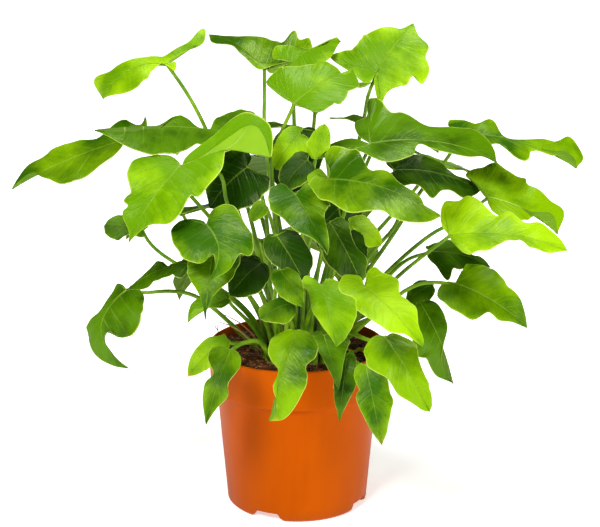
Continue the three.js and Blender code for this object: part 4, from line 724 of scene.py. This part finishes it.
def dead_leaf(name, fresh, withered):
    paint = Paint(name)
    spots = paint.noise(160, 3)
    shade = paint.mix(((spots - 0.4) * 3).held(), colour(fresh), colour(withered))
    return paint.done(paint.shell(Base_Color=shade, Roughness=spots * 0.2 + 0.5, Specular_IOR_Level=0.25,
                                  Normal=paint.bump(spots, 0.0006, 0.6)))


def glowing_floor_paper():
    paint = Paint("glowing_floor_paper")
    tooth = paint.noise(240, 2)
    white = paint.mix(tooth, colour("#f6f6f6"), colour("#fbfbfb"))
    place = paint.node("ShaderNodeVectorMath", {"operation": "LENGTH"}, (paint.where,), output=1)
    # The floor glows as painted light: grey near the pot, white from 0.7 m out, lighting the plant from
    # below.
    glow = paint.mix(((place - 0.2) / 0.5).held(), colour("#c4c4c4"), colour("#ffffff"))
    return paint.done(paint.shell(Base_Color=white, Roughness=tooth * 0.05 + 0.85, Specular_IOR_Level=0.1,
                                  Emission_Color=glow, Emission_Strength=1))


# Curves

def smooth_line(points, count):
    """Points on a centripetal Catmull-Rom curve, count to each span, and the last."""
    ends = [points[0] * 2 - points[1], *points, points[-1] * 2 - points[-2]]
    made = []
    for i in range(len(points) - 1):
        p0, p1, p2, p3 = ends[i:i + 4]
        d1 = max((p2 - p1).length ** 0.5, 1e-4)
        d0 = (p1 - p0).length ** 0.5 or d1
        d2 = (p3 - p2).length ** 0.5 or d1
        t1 = ((p1 - p0) / d0 - (p2 - p0) / (d0 + d1) + (p2 - p1) / d1) * d1
        t2 = ((p2 - p1) / d1 - (p3 - p1) / (d1 + d2) + (p3 - p2) / d2) * d1
        for k in range(count):
            t = k / count
            bend = p2 * 3 - p1 * 3 - t1 * 2 - t2
            turn = p1 * 2 - p2 * 2 + t1 + t2
            made.append(p1 + t1 * t + bend * t * t + turn * t ** 3)
    return [*made, points[-1].copy()]


def bezier(p0, p1, p2, p3, count):
    steps = [k / count for k in range(count + 1)]
    return [
        p0 * (1 - t) ** 3 + p1 * 3 * t * (1 - t) ** 2 + p2 * 3 * t * t * (1 - t) + p3 * t ** 3
        for t in steps
    ]


def evenly(points, count):
    """The same line as count + 1 points, equally far apart."""
    far = [0]
    for one, other in zip(points, points[1:]):
        far.append(far[-1] + (other - one).length)
    made = []
    i = 0
    for k in range(count + 1):
        goal = far[-1] * k / count
        while i < len(far) - 2 and far[i + 1] < goal:
            i += 1
        made.append(points[i].lerp(points[i + 1], (goal - far[i]) / max(far[i + 1] - far[i], 1e-9)))
    return made


# Meshes

def laid_grid(bm, wide, tall, place, kind=0):
    """Lays wide by tall faces by place(i, j), which gives a corner and its spot on the pattern."""
    made = bmesh.ops.create_grid(bm, x_segments=wide, y_segments=tall, size=1)["verts"]
    pattern = bm.loops.layers.uv["blade"]
    spots = {}
    for vert in made:
        i = round((vert.co.x + 1) / 2 * wide)
        j = round((vert.co.y + 1) / 2 * tall)
        vert.co, spots[vert] = place(i, j)
    for face in {f for vert in made for f in vert.link_faces}:
        face.smooth = True
        face.material_index = kind
        for loop in face.loops:
            loop[pattern].uv = spots[loop.vert]
    return made


def ring(bm, radius, steps, at=Matrix()):
    return bmesh.ops.create_circle(bm, cap_ends=False, radius=radius, segments=steps, matrix=at)["verts"]


def corners_of(parts):
    return [part for part in parts if isinstance(part, bmesh.types.BMVert)]


def laid_tube(bm, centres, radii, sides, kind=0, flat=1):
    """A closed tube along centres, its ends capped."""
    side = Vector((1, 0, 0))
    frames = []
    for i, centre in enumerate(centres):
        forward = (centres[min(i + 1, len(centres) - 1)] - centres[max(i - 1, 0)]).normalized()
        side = (side - forward * side.dot(forward)).normalized()
        frames.append((centre, side.copy(), forward.cross(side)))

    def place(i, j):
        centre, across, other = frames[j]
        angle = 2 * math.pi * i / sides
        radius = radii[j]
        spot = centre + across * radius * math.cos(angle) + other * radius * flat * math.sin(angle)
        return spot, (j / (len(centres) - 1), i / sides)

    made = laid_grid(bm, sides, len(centres) - 1, place, kind)
    bmesh.ops.remove_doubles(bm, verts=made, dist=1e-7)
    kept = [v for v in made if v.is_valid]
    rims = {e for v in kept for e in v.link_edges if e.is_boundary}
    for face in bmesh.ops.holes_fill(bm, edges=list(rims), sides=0)["faces"]:
        face.smooth = True
        face.material_index = kind
    return kept


def laid_sprig(bm, ends, steps, thick, loss):
    """A thin tube through a few points, thinner at each step."""
    line = smooth_line(ends, steps)
    laid_tube(bm, line, [thick - loss * k for k in range(len(line))], THIN_SIDES)


def thicken(bm, thickness):
    """Gives a sheet a second face below it, of the second material, and a rim between the two."""
    made = bmesh.ops.extrude_face_region(bm, geom=list(bm.faces), use_keep_orig=True)["geom"]
    bm.normal_update()
    for part in made:
        if isinstance(part, bmesh.types.BMVert):
            part.co -= part.normal * thickness
        elif isinstance(part, bmesh.types.BMFace):
            part.material_index = 1
    for face in bm.faces:
        face.smooth = True


def new_mesh():
    bm = bmesh.new()
    bm.loops.layers.uv.new("blade")
    bm.verts.layers.float.new("tint_and_painted_light")
    bm.verts.layers.float.new("dry")
    return bm


def shown(bm, name, materials, replaced=None, slot=None):
    """Makes the mesh a piece that rides on the plant's one body."""
    mesh = bpy.data.meshes.new(name)
    bmesh.ops.recalc_face_normals(bm, faces=bm.faces)
    bm.to_mesh(mesh)
    bm.free()
    piece = bpy.data.objects.new(name, mesh)
    bpy.context.scene.collection.objects.link(piece)
    for material in materials:
        mesh.materials.append(material)
    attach(piece, "root")
    if replaced:
        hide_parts(replaced)
    return piece


# Leaves

def sight(x, y, depth):
    """The place that a pixel of the photograph shows at a depth along Y."""
    right = (x - PHOTO_MIDDLE[0]) / PHOTO_LENS
    up = (PHOTO_MIDDLE[1] - y) / PHOTO_LENS
    far = (depth - PHOTO_EYE[1]) / (math.cos(PHOTO_TILT) + math.sin(PHOTO_TILT) * up)
    height = PHOTO_EYE[2] + far * (math.cos(PHOTO_TILT) * up - math.sin(PHOTO_TILT))
    return PHOTO_EYE[0] + far * right, depth, height


def seen_place(x, y, depth):
    """A pixel and its depth in millimetres as a place, to the nearest millimetre."""
    depth *= MM
    if depth < FRONT:
        depth = FRONT + (depth - FRONT) * FRONT_STRETCH
    return tuple(round(at, 3) for at in sight(x, y, depth))


def blade_frame(leaf):
    """A blade's base, its length, and the ways to its tip, its left and its upper side."""
    base = Vector(leaf["base"])
    tip = Vector(leaf["tip"])
    length = (tip - base).length
    along = (tip - base).normalized()
    face = Vector(leaf["face"])
    face = (face - along * face.dot(along)).normalized()
    return base, length, along, face.cross(along), face


def blade_lift(leaf, a, o):
    """How far a blade rises from the plane of its base and tip, in fractions of its length."""
    bow = 4 * a * (1 - a) if a > 0 else LOBE_FALL * a
    arch = leaf.get("arch", USUAL_ARCH)
    fold = leaf.get("fold", USUAL_FOLD)
    droop = leaf.get("droop", USUAL_DROOP)
    return arch * bow + fold * abs(o) - droop * o * o


def on_blade(leaf, side, x, y):
    """Where a pixel falls on half a blade, in hundredths of its length: from base to tip, then out."""
    base, length, along, across, face = blade_frame(leaf)
    near, far = (Vector(sight(x, y, depth)) for depth in SIGHT_ENDS)
    lift = 0
    for _ in range(SIGHT_PASSES):
        met = geometry.intersect_line_plane(near, far, base + face * length * lift, face) - base
        a = met.dot(along) / length
        o = met.dot(across) / length
        lift = (lift + blade_lift(leaf, a, o)) / 2
    return round(a, 2), round(side * o, 2)


def seen_leaf(leaf):
    """A leaf of the table, its pixels turned into places and into fractions of the blade's length."""
    seen = dict(leaf, base=seen_place(*leaf["base"]), tip=seen_place(*leaf["tip"]))
    if "via" in leaf:
        seen["via"] = [seen_place(*spot) for spot in leaf["via"]]
    for half, side in (("left", 1), ("right", -1)):
        seen[half] = [[on_blade(seen, side, x, y) for x, y in part] for part in leaf[half]]
    return seen


def rear_leaf(index, name, tone, azimuth, reach, height, length, dip, turn):
    angle = math.radians(azimuth)
    heading = math.radians(azimuth + turn)
    slope = math.radians(dip)
    outward = Vector((math.cos(heading), math.sin(heading), 0))
    base = Vector((reach * math.cos(angle), reach * math.sin(angle), height))
    along = outward * math.cos(slope) - UP * math.sin(slope)
    face = outward * math.sin(slope) + UP * math.cos(slope)
    return dict(name="leaf_rear_" + name, tone=tone, base=base, tip=base + along * length, face=face,
                left=OUTLINES[index % 3], right=OUTLINES[(index + 1) % 3], arch=0.12)


def place_feet(leaves):
    """Each foot lies on its leaf's side of the crown, low leaves furthest out, all a little apart."""
    feet = []
    for leaf in leaves:
        if "foot" in leaf:
            feet.append(Vector((*leaf["foot"], 0)))
            continue
        base = Vector(leaf["base"])
        height = min(max((base.z - LOW_BASE) / BASE_SPAN, 0), 1)
        radius = CROWN_OUTER + (CROWN_INNER - CROWN_OUTER) * height
        angle = math.atan2(base.y, base.x)
        feet.append(Vector((radius * math.cos(angle), radius * math.sin(angle), 0)))
    for _ in range(FOOT_PASSES):
        for i, one in enumerate(feet):
            for other in feet[i + 1:]:
                apart = other - one
                missing = FOOT_SPACING - apart.length
                if missing > 0:
                    apart = apart.normalized() * (missing / 2)
                    other += apart
                    one -= apart
    return feet


def blade_place(leaf, base, length, along, across, face):
    def place(a, o, ripple=0):
        lift = blade_lift(leaf, a, o) + ripple
        return base + (along * a + across * o + face * lift) * length

    return place


def half_blade(bm, half, side, edge_steps, sway, place, phase):
    """One half of a blade as a grid, from the notch round the lobe and along the edge to the tip."""
    lobe, edge = half
    points = [Vector((a, o, 0)) for a, o in ((0, 0), *lobe, *edge, (1, 0))]
    line = smooth_line(points, LINE_STEPS)
    at = lambda share: line[round(share * LINE_STEPS)]
    shoulder = len(lobe)
    middle = at(shoulder / 2)
    lobe_rows = ROWS_A_POINT * shoulder
    edge_rows = ROWS_A_POINT * edge_steps

    def spot(i, j):
        out = ACROSS[i]
        if j <= lobe_rows:
            share = j / lobe_rows
            reach = LOBE_RIB * (1 - abs(2 * share - 1))
            origin = (middle.x * reach, side * middle.y * reach)
            margin = at(share * shoulder)
            passed = share * shoulder
            on_pattern = share - 1
        else:
            share = (j - lobe_rows) / edge_rows
            origin = (share, 4 * sway * share * (1 - share))
            margin = at(shoulder + share * (len(edge) + 1))
            passed = shoulder + share * edge_steps
            on_pattern = share
        passed /= shoulder + edge_steps
        wave = RIPPLE * math.sin(2 * math.pi * RIPPLES * passed) * math.sin(math.pi * passed) * out ** 2
        crinkle = CRINKLE + noise.noise(Vector((passed * FLUTTERS, phase, side)))
        flutter = math.sin(2 * math.pi * FLUTTERS * passed + phase) * math.sin(math.pi * passed)
        wave += FLUTTER * crinkle * flutter * out ** 3
        swell = 0.5 - 0.5 * math.cos(2 * math.pi * (on_pattern * SIDE_VEINS - out * VEIN_SWEEP + 0.5))
        wave += PUFF * swell * 4 * out * (1 - out)
        ragged = noise.noise(Vector((passed * RAGGED_SCALE, side, phase))) * math.sin(math.pi * passed)
        reach_out = out * (1 + RAGGED * ragged * out ** 4)
        a = origin[0] + (margin.x - origin[0]) * reach_out
        o = origin[1] + (side * margin.y - origin[1]) * reach_out
        billow = Vector((a * BILLOW_SCALE, o * BILLOW_SCALE, phase * BILLOW_SHIFT))
        wave += BILLOW * noise.noise(billow) * out ** BILLOW_EASE
        return place(a, o, wave), (on_pattern, side * out)

    laid_grid(bm, len(ACROSS) - 1, lobe_rows + edge_rows, spot)
    return middle


def stalk_line(leaf, foot, place, face):
    start = Vector((foot.x, foot.y, MIX_EDGE_HEIGHT - STALK_DEPTH))
    clear = Vector((foot.x, foot.y, MIX_EDGE_HEIGHT + STALK_CLEAR))
    base = place(0, 0)
    under = base - face * STALK_OFFSET
    if "via" in leaf:
        waypoints = [Vector(p) for p in reversed(leaf["via"])]
        curve = smooth_line([clear, *waypoints, under], LINE_STEPS)
    else:
        reach = (under - clear).length
        outward = Vector((base.x - foot.x, base.y - foot.y, 0))
        outward.length = min(outward.length * 1000, 1)
        arrival = (face * ARRIVAL_FACE + outward * ARRIVAL_OUT + UP * ARRIVAL_UP).normalized()
        bend = Vector(leaf.get("bend", (0, 0, 0)))
        rise = clear + UP * STALK_RISE * reach + outward * STALK_LEAN * reach + bend
        approach = under - arrival * STALK_APPROACH * reach + bend
        curve = bezier(clear, rise, approach, under, CURVE_STEPS)
    return [start, *curve]


def stalk_and_ribs(bm, leaf, foot, place, face, sway, length, lobes):
    """The stalk, from the mix to the blade, and on, ever thinner, under the midrib and the lobes."""
    line = evenly(stalk_line(leaf, foot, place, face), STALK_STEPS)
    far = sum((b - a).length for a, b in zip(line, line[1:]))
    radii = []
    for i in range(len(line)):
        share = i / STALK_STEPS
        sheath = 1 + SHEATH_SPREAD * max(0, 1 - share * far / (SHEATH_LENGTH + STALK_DEPTH)) ** 1.5
        radii.append((STALK_FOOT_RADIUS + (STALK_TOP_RADIUS - STALK_FOOT_RADIUS) * share) * sheath)
    thick = min(STALK_TOP_RADIUS, RIB_SHARE * length)
    radii[-1] = thick + 0.1 * MM
    for k in range(1, RIB_STEPS + 1):
        share = RIB_END * k / RIB_STEPS
        radius = thick * (1 - share / RIB_END) ** RIB_TAPER * RIB_SIZE + RIB_LEAST
        spot = place(share, 4 * sway * share * (1 - share))
        line.append(spot - face * (radius * RIB_SUNK + BLADE_THICKNESS / 2 * (1 - share)))
        radii.append(radius)
    laid_tube(bm, line, radii, STALK_SIDES, 2)
    for middle, side in lobes:
        ribs = []
        sizes = []
        for k in range(LOBE_RIB_STEPS + 1):
            share = LOBE_RIB_END * k / LOBE_RIB_STEPS
            radius = thick * LOBE_RIB_SIZE * (1 - k / LOBE_RIB_STEPS) + RIB_LEAST
            spot = place(middle.x * share, side * middle.y * share)
            ribs.append(spot - face * radius * RIB_SUNK)
            sizes.append(radius)
        laid_tube(bm, ribs, sizes, THIN_SIDES, 2)


def leaf_piece(leaf, foot, skins, draw):
    base, length, along, across, face = blade_frame(leaf)
    place = blade_place(leaf, base, length, along, across, face)
    sway = leaf.get("sway", 0)
    edge_steps = max(len(leaf["left"][1]), len(leaf["right"][1])) + 1
    phase = draw.uniform(0, 2 * math.pi)
    bm = new_mesh()
    lobes = []
    for half, side in ((leaf["left"], 1), (leaf["right"], -1)):
        middle = half_blade(bm, half, side, edge_steps, sway, place, phase)
        lobes.append((middle, side))
    bmesh.ops.remove_doubles(bm, verts=bm.verts, dist=BLADE_WELD)
    bmesh.ops.dissolve_degenerate(bm, dist=WELD, edges=bm.edges)
    bmesh.ops.recalc_face_normals(bm, faces=bm.faces)
    upward = sum(f.normal.dot(face) * f.calc_area() for f in bm.faces)
    if upward < 0:
        bmesh.ops.reverse_faces(bm, faces=bm.faces)
    thicken(bm, BLADE_THICKNESS)
    stalk_and_ribs(bm, leaf, foot, place, face, sway, length, lobes)
    tint_and_painted_light = bm.verts.layers.float["tint_and_painted_light"]
    dry = bm.verts.layers.float["dry"]
    # A random tint for each leaf, plus the painted light and shade that the table gives it.
    shade = draw.uniform(-TINT_SPREAD, TINT_SPREAD) + TINTS_AND_PAINTED_LIGHT.get(leaf["name"], 0)
    dried = DRY_TIPS.get(leaf["name"], 0)
    for vert in bm.verts:
        vert[tint_and_painted_light] = shade
        vert[dry] = dried
        vert.co = [min(max(at, low), high) for at, low, high in zip(vert.co, *cad_box)]
    return shown(bm, leaf["name"] + "_grown", skins, leaf["name"], "leaf_" + leaf["tone"])


# Pot

def body_radius(height):
    rim_base = POT_HEIGHT - RIM_HEIGHT
    return BODY_FOOT_RADIUS + (BODY_TOP_RADIUS - BODY_FOOT_RADIUS) * height / rim_base


def pot_piece(plastic):
    rim_base = POT_HEIGHT - RIM_HEIGHT
    floor_top = FOOT_HEIGHT + FLOOR
    foot_inner = body_radius(0) - CORNER - FOOT_WALL
    outline = (
        (foot_inner, FOOT_HEIGHT),
        (foot_inner, 0),
        (body_radius(0) - CORNER, 0),
        (body_radius(CORNER), CORNER),
        (BODY_TOP_RADIUS, rim_base),
        (RIM_FOOT_RADIUS, rim_base),
        (RIM_RADIUS, POT_HEIGHT - 1 * MM),
        (RIM_RADIUS - 0.6 * MM, POT_HEIGHT),
        (RIM_RADIUS - WALL, POT_HEIGHT),
        (RIM_FOOT_RADIUS - WALL, rim_base + WALL),
        (BODY_TOP_RADIUS - WALL, rim_base),
        (body_radius(floor_top) - WALL, floor_top),
        (foot_inner, floor_top),
    )
    bm = new_mesh()
    corners = [bm.verts.new((radius, 0, height)) for radius, height in outline]
    sides = [bm.edges.new((one, other)) for one, other in zip(corners, corners[1:] + corners[:1])]
    bmesh.ops.bevel(bm, geom=corners + sides, offset=POT_ROUNDING, segments=3, profile=0.5,
                    affect="VERTICES", material=-1)
    bmesh.ops.subdivide_edges(bm, edges=[e for e in bm.edges if e.calc_length() > 20 * MM], cuts=8)
    low = [
        e for e in bm.edges
        if max(v.co.z for v in e.verts) < FOOT_HEIGHT + 1 * MM and e.calc_length() > 2 * MM
    ]
    bmesh.ops.subdivide_edges(bm, edges=low, cuts=4)
    bmesh.ops.spin(bm, geom=list(bm.verts) + list(bm.edges), axis=UP, cent=(0, 0, 0), steps=POT_STEPS,
                   angle=2 * math.pi, use_merge=True)
    bmesh.ops.remove_doubles(bm, verts=bm.verts, dist=WELD)
    for vert in bm.verts:
        if vert.co.z < FOOT_GAP_HEIGHT and vert.co.xy.length > foot_inner - 1 * MM:
            azimuth = math.atan2(vert.co.y, vert.co.x)
            quarter = 2 * math.pi / FOOT_GAPS
            turn = (azimuth - FIRST_GAP_AZIMUTH + quarter / 2) % quarter - quarter / 2
            beside = abs(turn) * vert.co.xy.length
            rise = (FOOT_GAP_WIDTH / 2 + FOOT_GAP_SLOPE / 2 - beside) / FOOT_GAP_SLOPE
            vert.co.z = max(vert.co.z, FOOT_GAP_HEIGHT * min(max(rise, 0), 1))
    disc = ring(bm, foot_inner + 0.2 * MM, POT_STEPS)
    rims = {e for v in disc for e in v.link_edges}
    for i in range(DRAIN_HOLES):
        angle = 2 * math.pi * i / DRAIN_HOLES
        at = Matrix.Translation((DRAIN_RING * math.cos(angle), DRAIN_RING * math.sin(angle), 0))
        hole = ring(bm, DRAIN_RADIUS, DRAIN_STEPS, at)
        rims |= {e for v in hole for e in v.link_edges}
        disc += hole
    bmesh.ops.triangle_fill(bm, use_beauty=True, use_dissolve=False, edges=list(rims))
    floor = list({f for v in disc for f in v.link_faces})
    bmesh.ops.translate(bm, verts=disc, vec=(0, 0, FOOT_HEIGHT))
    raised = bmesh.ops.extrude_face_region(bm, geom=floor, use_keep_orig=True)["geom"]
    bmesh.ops.translate(bm, verts=corners_of(raised), vec=(0, 0, FLOOR))
    for f in bm.faces:
        f.smooth = abs(f.normal.z) < 0.999
    piece = shown(bm, "pot_moulded", [plastic], "pot", "pot")
    piece.data.set_sharp_from_angle(angle=SHARP_FROM)
    return piece


# Potting mix

def mix_height(x, y):
    """The mix's surface: the crown and lumps that the solid has, and clods."""
    share = math.hypot(x, y) / MIX_RADIUS
    middle = (MIX_EDGE_HEIGHT + MIX_CROWN_HEIGHT) / 2
    if share > MIX_SHOULDER:
        height = middle + (MIX_EDGE_HEIGHT - middle) * (share - MIX_SHOULDER) / MIX_EDGE_SPAN
    else:
        height = middle + (MIX_CROWN_HEIGHT - middle) * min((MIX_SHOULDER - share) / MIX_CROWN_SPAN, 1)
    mx, my = x / MM, y / MM
    lump = math.sin(0.21 * mx + 1.3) * math.cos(0.17 * my) + 0.5 * math.sin(0.37 * my + 0.11 * mx)
    clod = noise.fractal(Vector((mx, my, 0)) * 0.22, 0.9, 2.1, 4)
    return height + MIX_LUMP * lump + clod * 1.3 * MM


def mix_piece(earth):
    bm = new_mesh()

    def spot(i, j):
        angle = 2 * math.pi * i / MIX_STEPS
        radius = MIX_RADIUS * j / MIX_RINGS
        x, y = radius * math.cos(angle), radius * math.sin(angle)
        return Vector((x, y, mix_height(x, y))), (i / MIX_STEPS, j / MIX_RINGS)

    laid_grid(bm, MIX_STEPS, MIX_RINGS, spot)
    bmesh.ops.remove_doubles(bm, verts=bm.verts, dist=WELD)
    outline = (
        (MIX_RADIUS, MIX_WIDE_FOOT),
        (BODY_TOP_RADIUS - WALL - MIX_CLEAR, MIX_NARROW_TOP),
        (body_radius(FOOT_HEIGHT) - WALL - MIX_CLEAR, FOOT_HEIGHT + FLOOR + MIX_GAP),
    )
    for radius, height in outline:
        rims = [e for e in bm.edges if e.is_boundary]
        made = bmesh.ops.extrude_edge_only(bm, edges=rims)["geom"]
        for vert in corners_of(made):
            vert.co = (*(vert.co.xy.normalized() * radius), height)
    bmesh.ops.holes_fill(bm, edges=[e for e in bm.edges if e.is_boundary], sides=0)
    return shown(bm, "potting_mix_bed", [earth], "potting_mix", "potting_mix")


def on_mix(draw, inset=1):
    radius = MIX_RADIUS * inset * math.sqrt(draw.random())
    angle = draw.uniform(0, 2 * math.pi)
    x, y = radius * math.cos(angle), radius * math.sin(angle)
    return Vector((x, y, mix_height(x, y)))


def gathered(count, make):
    """Makes many small parts in lots, because an operator goes over the whole of its mesh each time."""
    whole = new_mesh()
    for first in range(0, count, LOT):
        lot = new_mesh()
        for _ in range(min(LOT, count - first)):
            make(lot, lot.verts.layers.float["tint_and_painted_light"])
        mesh = bpy.data.meshes.new("lot")
        lot.to_mesh(mesh)
        lot.free()
        whole.from_mesh(mesh)
        bpy.data.meshes.remove(mesh)
    return whole


def mix_chunks(bits, draw):
    """Lumps of bark and peat lying in the mix."""
    def chunk(bm, tint_and_painted_light):
        size = draw.uniform(0.5, 1.0) * draw.choice((0.9, 1.1, 1.5, 2.2)) * MM
        at = on_mix(draw, 0.965)
        heading = Matrix.Rotation(draw.uniform(0, 6.28), 4, "Z")
        turn = heading @ Matrix.Rotation(draw.uniform(-0.7, 0.7), 4, "X")
        shape = Matrix.Diagonal((draw.uniform(0.8, 2), draw.uniform(0.6, 1.1), draw.uniform(0.35, 0.8), 1))
        place = Matrix.Translation(at) @ turn @ shape @ Matrix.Scale(size, 4)
        made = bmesh.ops.create_icosphere(bm, subdivisions=1, radius=1, matrix=place)["verts"]
        shade = draw.random() ** 2.2
        for vert in made:
            vert.co += noise.noise_vector(vert.co * 900) * size * 0.45
            vert[tint_and_painted_light] = shade

    return shown(gathered(CHUNKS, chunk), "mix_chunks", [bits], slot="potting_mix")


def mix_fibres(bits, draw):
    """Coir fibres and fine roots lying on the mix in all directions."""
    def fibre(bm, tint_and_painted_light):
        at = on_mix(draw, 0.93)
        heading = draw.uniform(0, 2 * math.pi)
        length = draw.uniform(4, 13) * MM
        curl = draw.uniform(-2.2, 2.2)
        line = []
        steps = 7
        for k in range(steps + 1):
            angle = heading + curl * k / steps
            at = at + Vector((math.cos(angle), math.sin(angle), 0)) * (length / steps)
            held = min(at.xy.length, RIM_FOOT_RADIUS - WALL - 2 * MM)
            at.xy = at.xy.normalized() * held
            hump = math.sin(math.pi * k / steps) * draw.uniform(0.2, 1.2) * MM
            line.append(Vector((at.x, at.y, mix_height(at.x, at.y) + 0.2 * MM + hump)))
        thick = draw.uniform(0.13, 0.32) * MM
        radii = [thick * (1 - 0.6 * k / steps) for k in range(steps + 1)]
        shade = draw.uniform(0.3, 1)
        for vert in laid_tube(bm, line, radii, 4):
            vert[tint_and_painted_light] = shade

    return shown(gathered(FIBRES, fibre), "mix_fibres", [bits], slot="potting_mix")


def shoot(start, spots):
    """Points on from a start, each so many millimetres to the right and up."""
    return [start + Vector((right * MM, 0, up * MM)) for right, up in spots]


def twig_piece(bits):
    """A thin dark forked twig standing up at the back left of the mix."""
    bm = new_mesh()
    foot = Vector((-0.064, 0.016, 0.121))
    stem = shoot(foot, ((0, 0), (0, 8), (1, 14), (0.2, 20)))
    laid_sprig(bm, stem, 5, 0.55 * MM, 0.02 * MM)
    fork = shoot(stem[2], ((0, 0), (-2, 3), (-2.6, 6)))
    laid_sprig(bm, fork, 4, 0.4 * MM, 0.02 * MM)
    return shown(bm, "mix_twig", [bits], slot="potting_mix")


def dry_sheaths(husk):
    """Two thin dry sheath ends that point up and left from the crown."""
    bm = new_mesh()
    for ends in (((-0.027, -0.018, 0.1285), (-0.047, -0.022, 0.149), (-0.061, -0.028, 0.157)),
                 ((-0.026, -0.013, 0.13), (-0.042, -0.016, 0.15), (-0.056, -0.022, 0.1605))):
        laid_sprig(bm, [Vector(end) for end in ends], 6, 0.75 * MM, 0.035 * MM)
    return shown(bm, "dry_sheaths", [husk], slot="potting_mix")


def fallen_leaf(straw):
    """A small yellow dead leaf lying on the mix at the right."""
    bm = new_mesh()
    wide, tall = 12, 8

    def spot(i, j):
        u, v = i / wide * 2 - 1, j / tall * 2 - 1
        x = 0.047 + 9 * MM * u
        y = -0.012 + 4.5 * MM * v * (1 - u * u) ** 0.5 - 3 * MM * u
        return Vector((x, y, mix_height(x, y) + (2 + 1.5 * v * v + 1.2 * math.sin(4 * u)) * MM)), (u, v)

    laid_grid(bm, wide, tall, spot)
    bmesh.ops.remove_doubles(bm, verts=bm.verts, dist=WELD)
    thicken(bm, 0.3 * MM)
    return shown(bm, "fallen_leaf", [straw, straw], slot="potting_mix")


# Stage

def floor_piece(paper):
    mesh = bpy.data.meshes.new("floor")
    bm = bmesh.new()
    bmesh.ops.create_circle(bm, cap_ends=True, radius=STAGE_RADIUS, segments=STAGE_STEPS)
    bm.to_mesh(mesh)
    bm.free()
    floor = bpy.data.objects.new("floor", mesh)
    bpy.context.scene.collection.objects.link(floor)
    mesh.materials.append(paper)


def soft_light(name, place, size, power):
    lamp = bpy.data.lights.new(name, "AREA")
    lamp.shape = "DISK"
    lamp.size = size
    lamp.energy = power
    holder = bpy.data.objects.new(name, lamp)
    holder.location = place
    holder.rotation_euler = (Vector(LIT_MIDDLE) - Vector(place)).to_track_quat("-Z", "Y").to_euler()
    bpy.context.scene.collection.objects.link(holder)


def studio():
    scene = bpy.context.scene
    scene.view_settings.view_transform = "Standard"
    world = bpy.data.worlds.new("studio")
    scene.world = world
    world.use_nodes = True
    back = world.node_tree.nodes["Background"]
    back.inputs["Color"].default_value = (1, 1, 1, 1)
    back.inputs["Strength"].default_value = WORLD_GLOW
    for light in LIGHTS:
        soft_light(*light)
    camera = bpy.data.cameras.new("camera")
    camera.lens = CAMERA_LENS
    camera.clip_end = CAMERA_REACH
    holder = bpy.data.objects.new("camera", camera)
    holder.location = PHOTO_EYE
    holder.rotation_euler = (CAMERA_TURN, 0, 0)
    scene.collection.objects.link(holder)
    scene.camera = holder


studio()
floor_piece(glowing_floor_paper())
draw = random.Random(SEED)
noise.seed_set(SEED)
pot_piece(pot_plastic())
mix_piece(mix_earth())
bits = mix_bits()
mix_chunks(bits, draw)
mix_fibres(bits, draw)
twig_piece(bits)
straw = dead_leaf("dead_leaf", "#b8a818", "#7c5a20")
fallen_leaf(straw)
husk = dead_leaf("dry_sheath", "#c08a62", "#9a5c40")
dry_sheaths(husk)
stalk = stalk_skin()
skins = {tone: (blade_upper(tone), blade_under(tone), stalk) for tone in TONES}
leaves = [*map(seen_leaf, LEAVES), *(rear_leaf(i, *values) for i, values in enumerate(REAR_LEAVES))]
for leaf, foot in zip(leaves, place_feet(leaves)):
    leaf_piece(leaf, foot, skins[leaf["tone"]], draw)
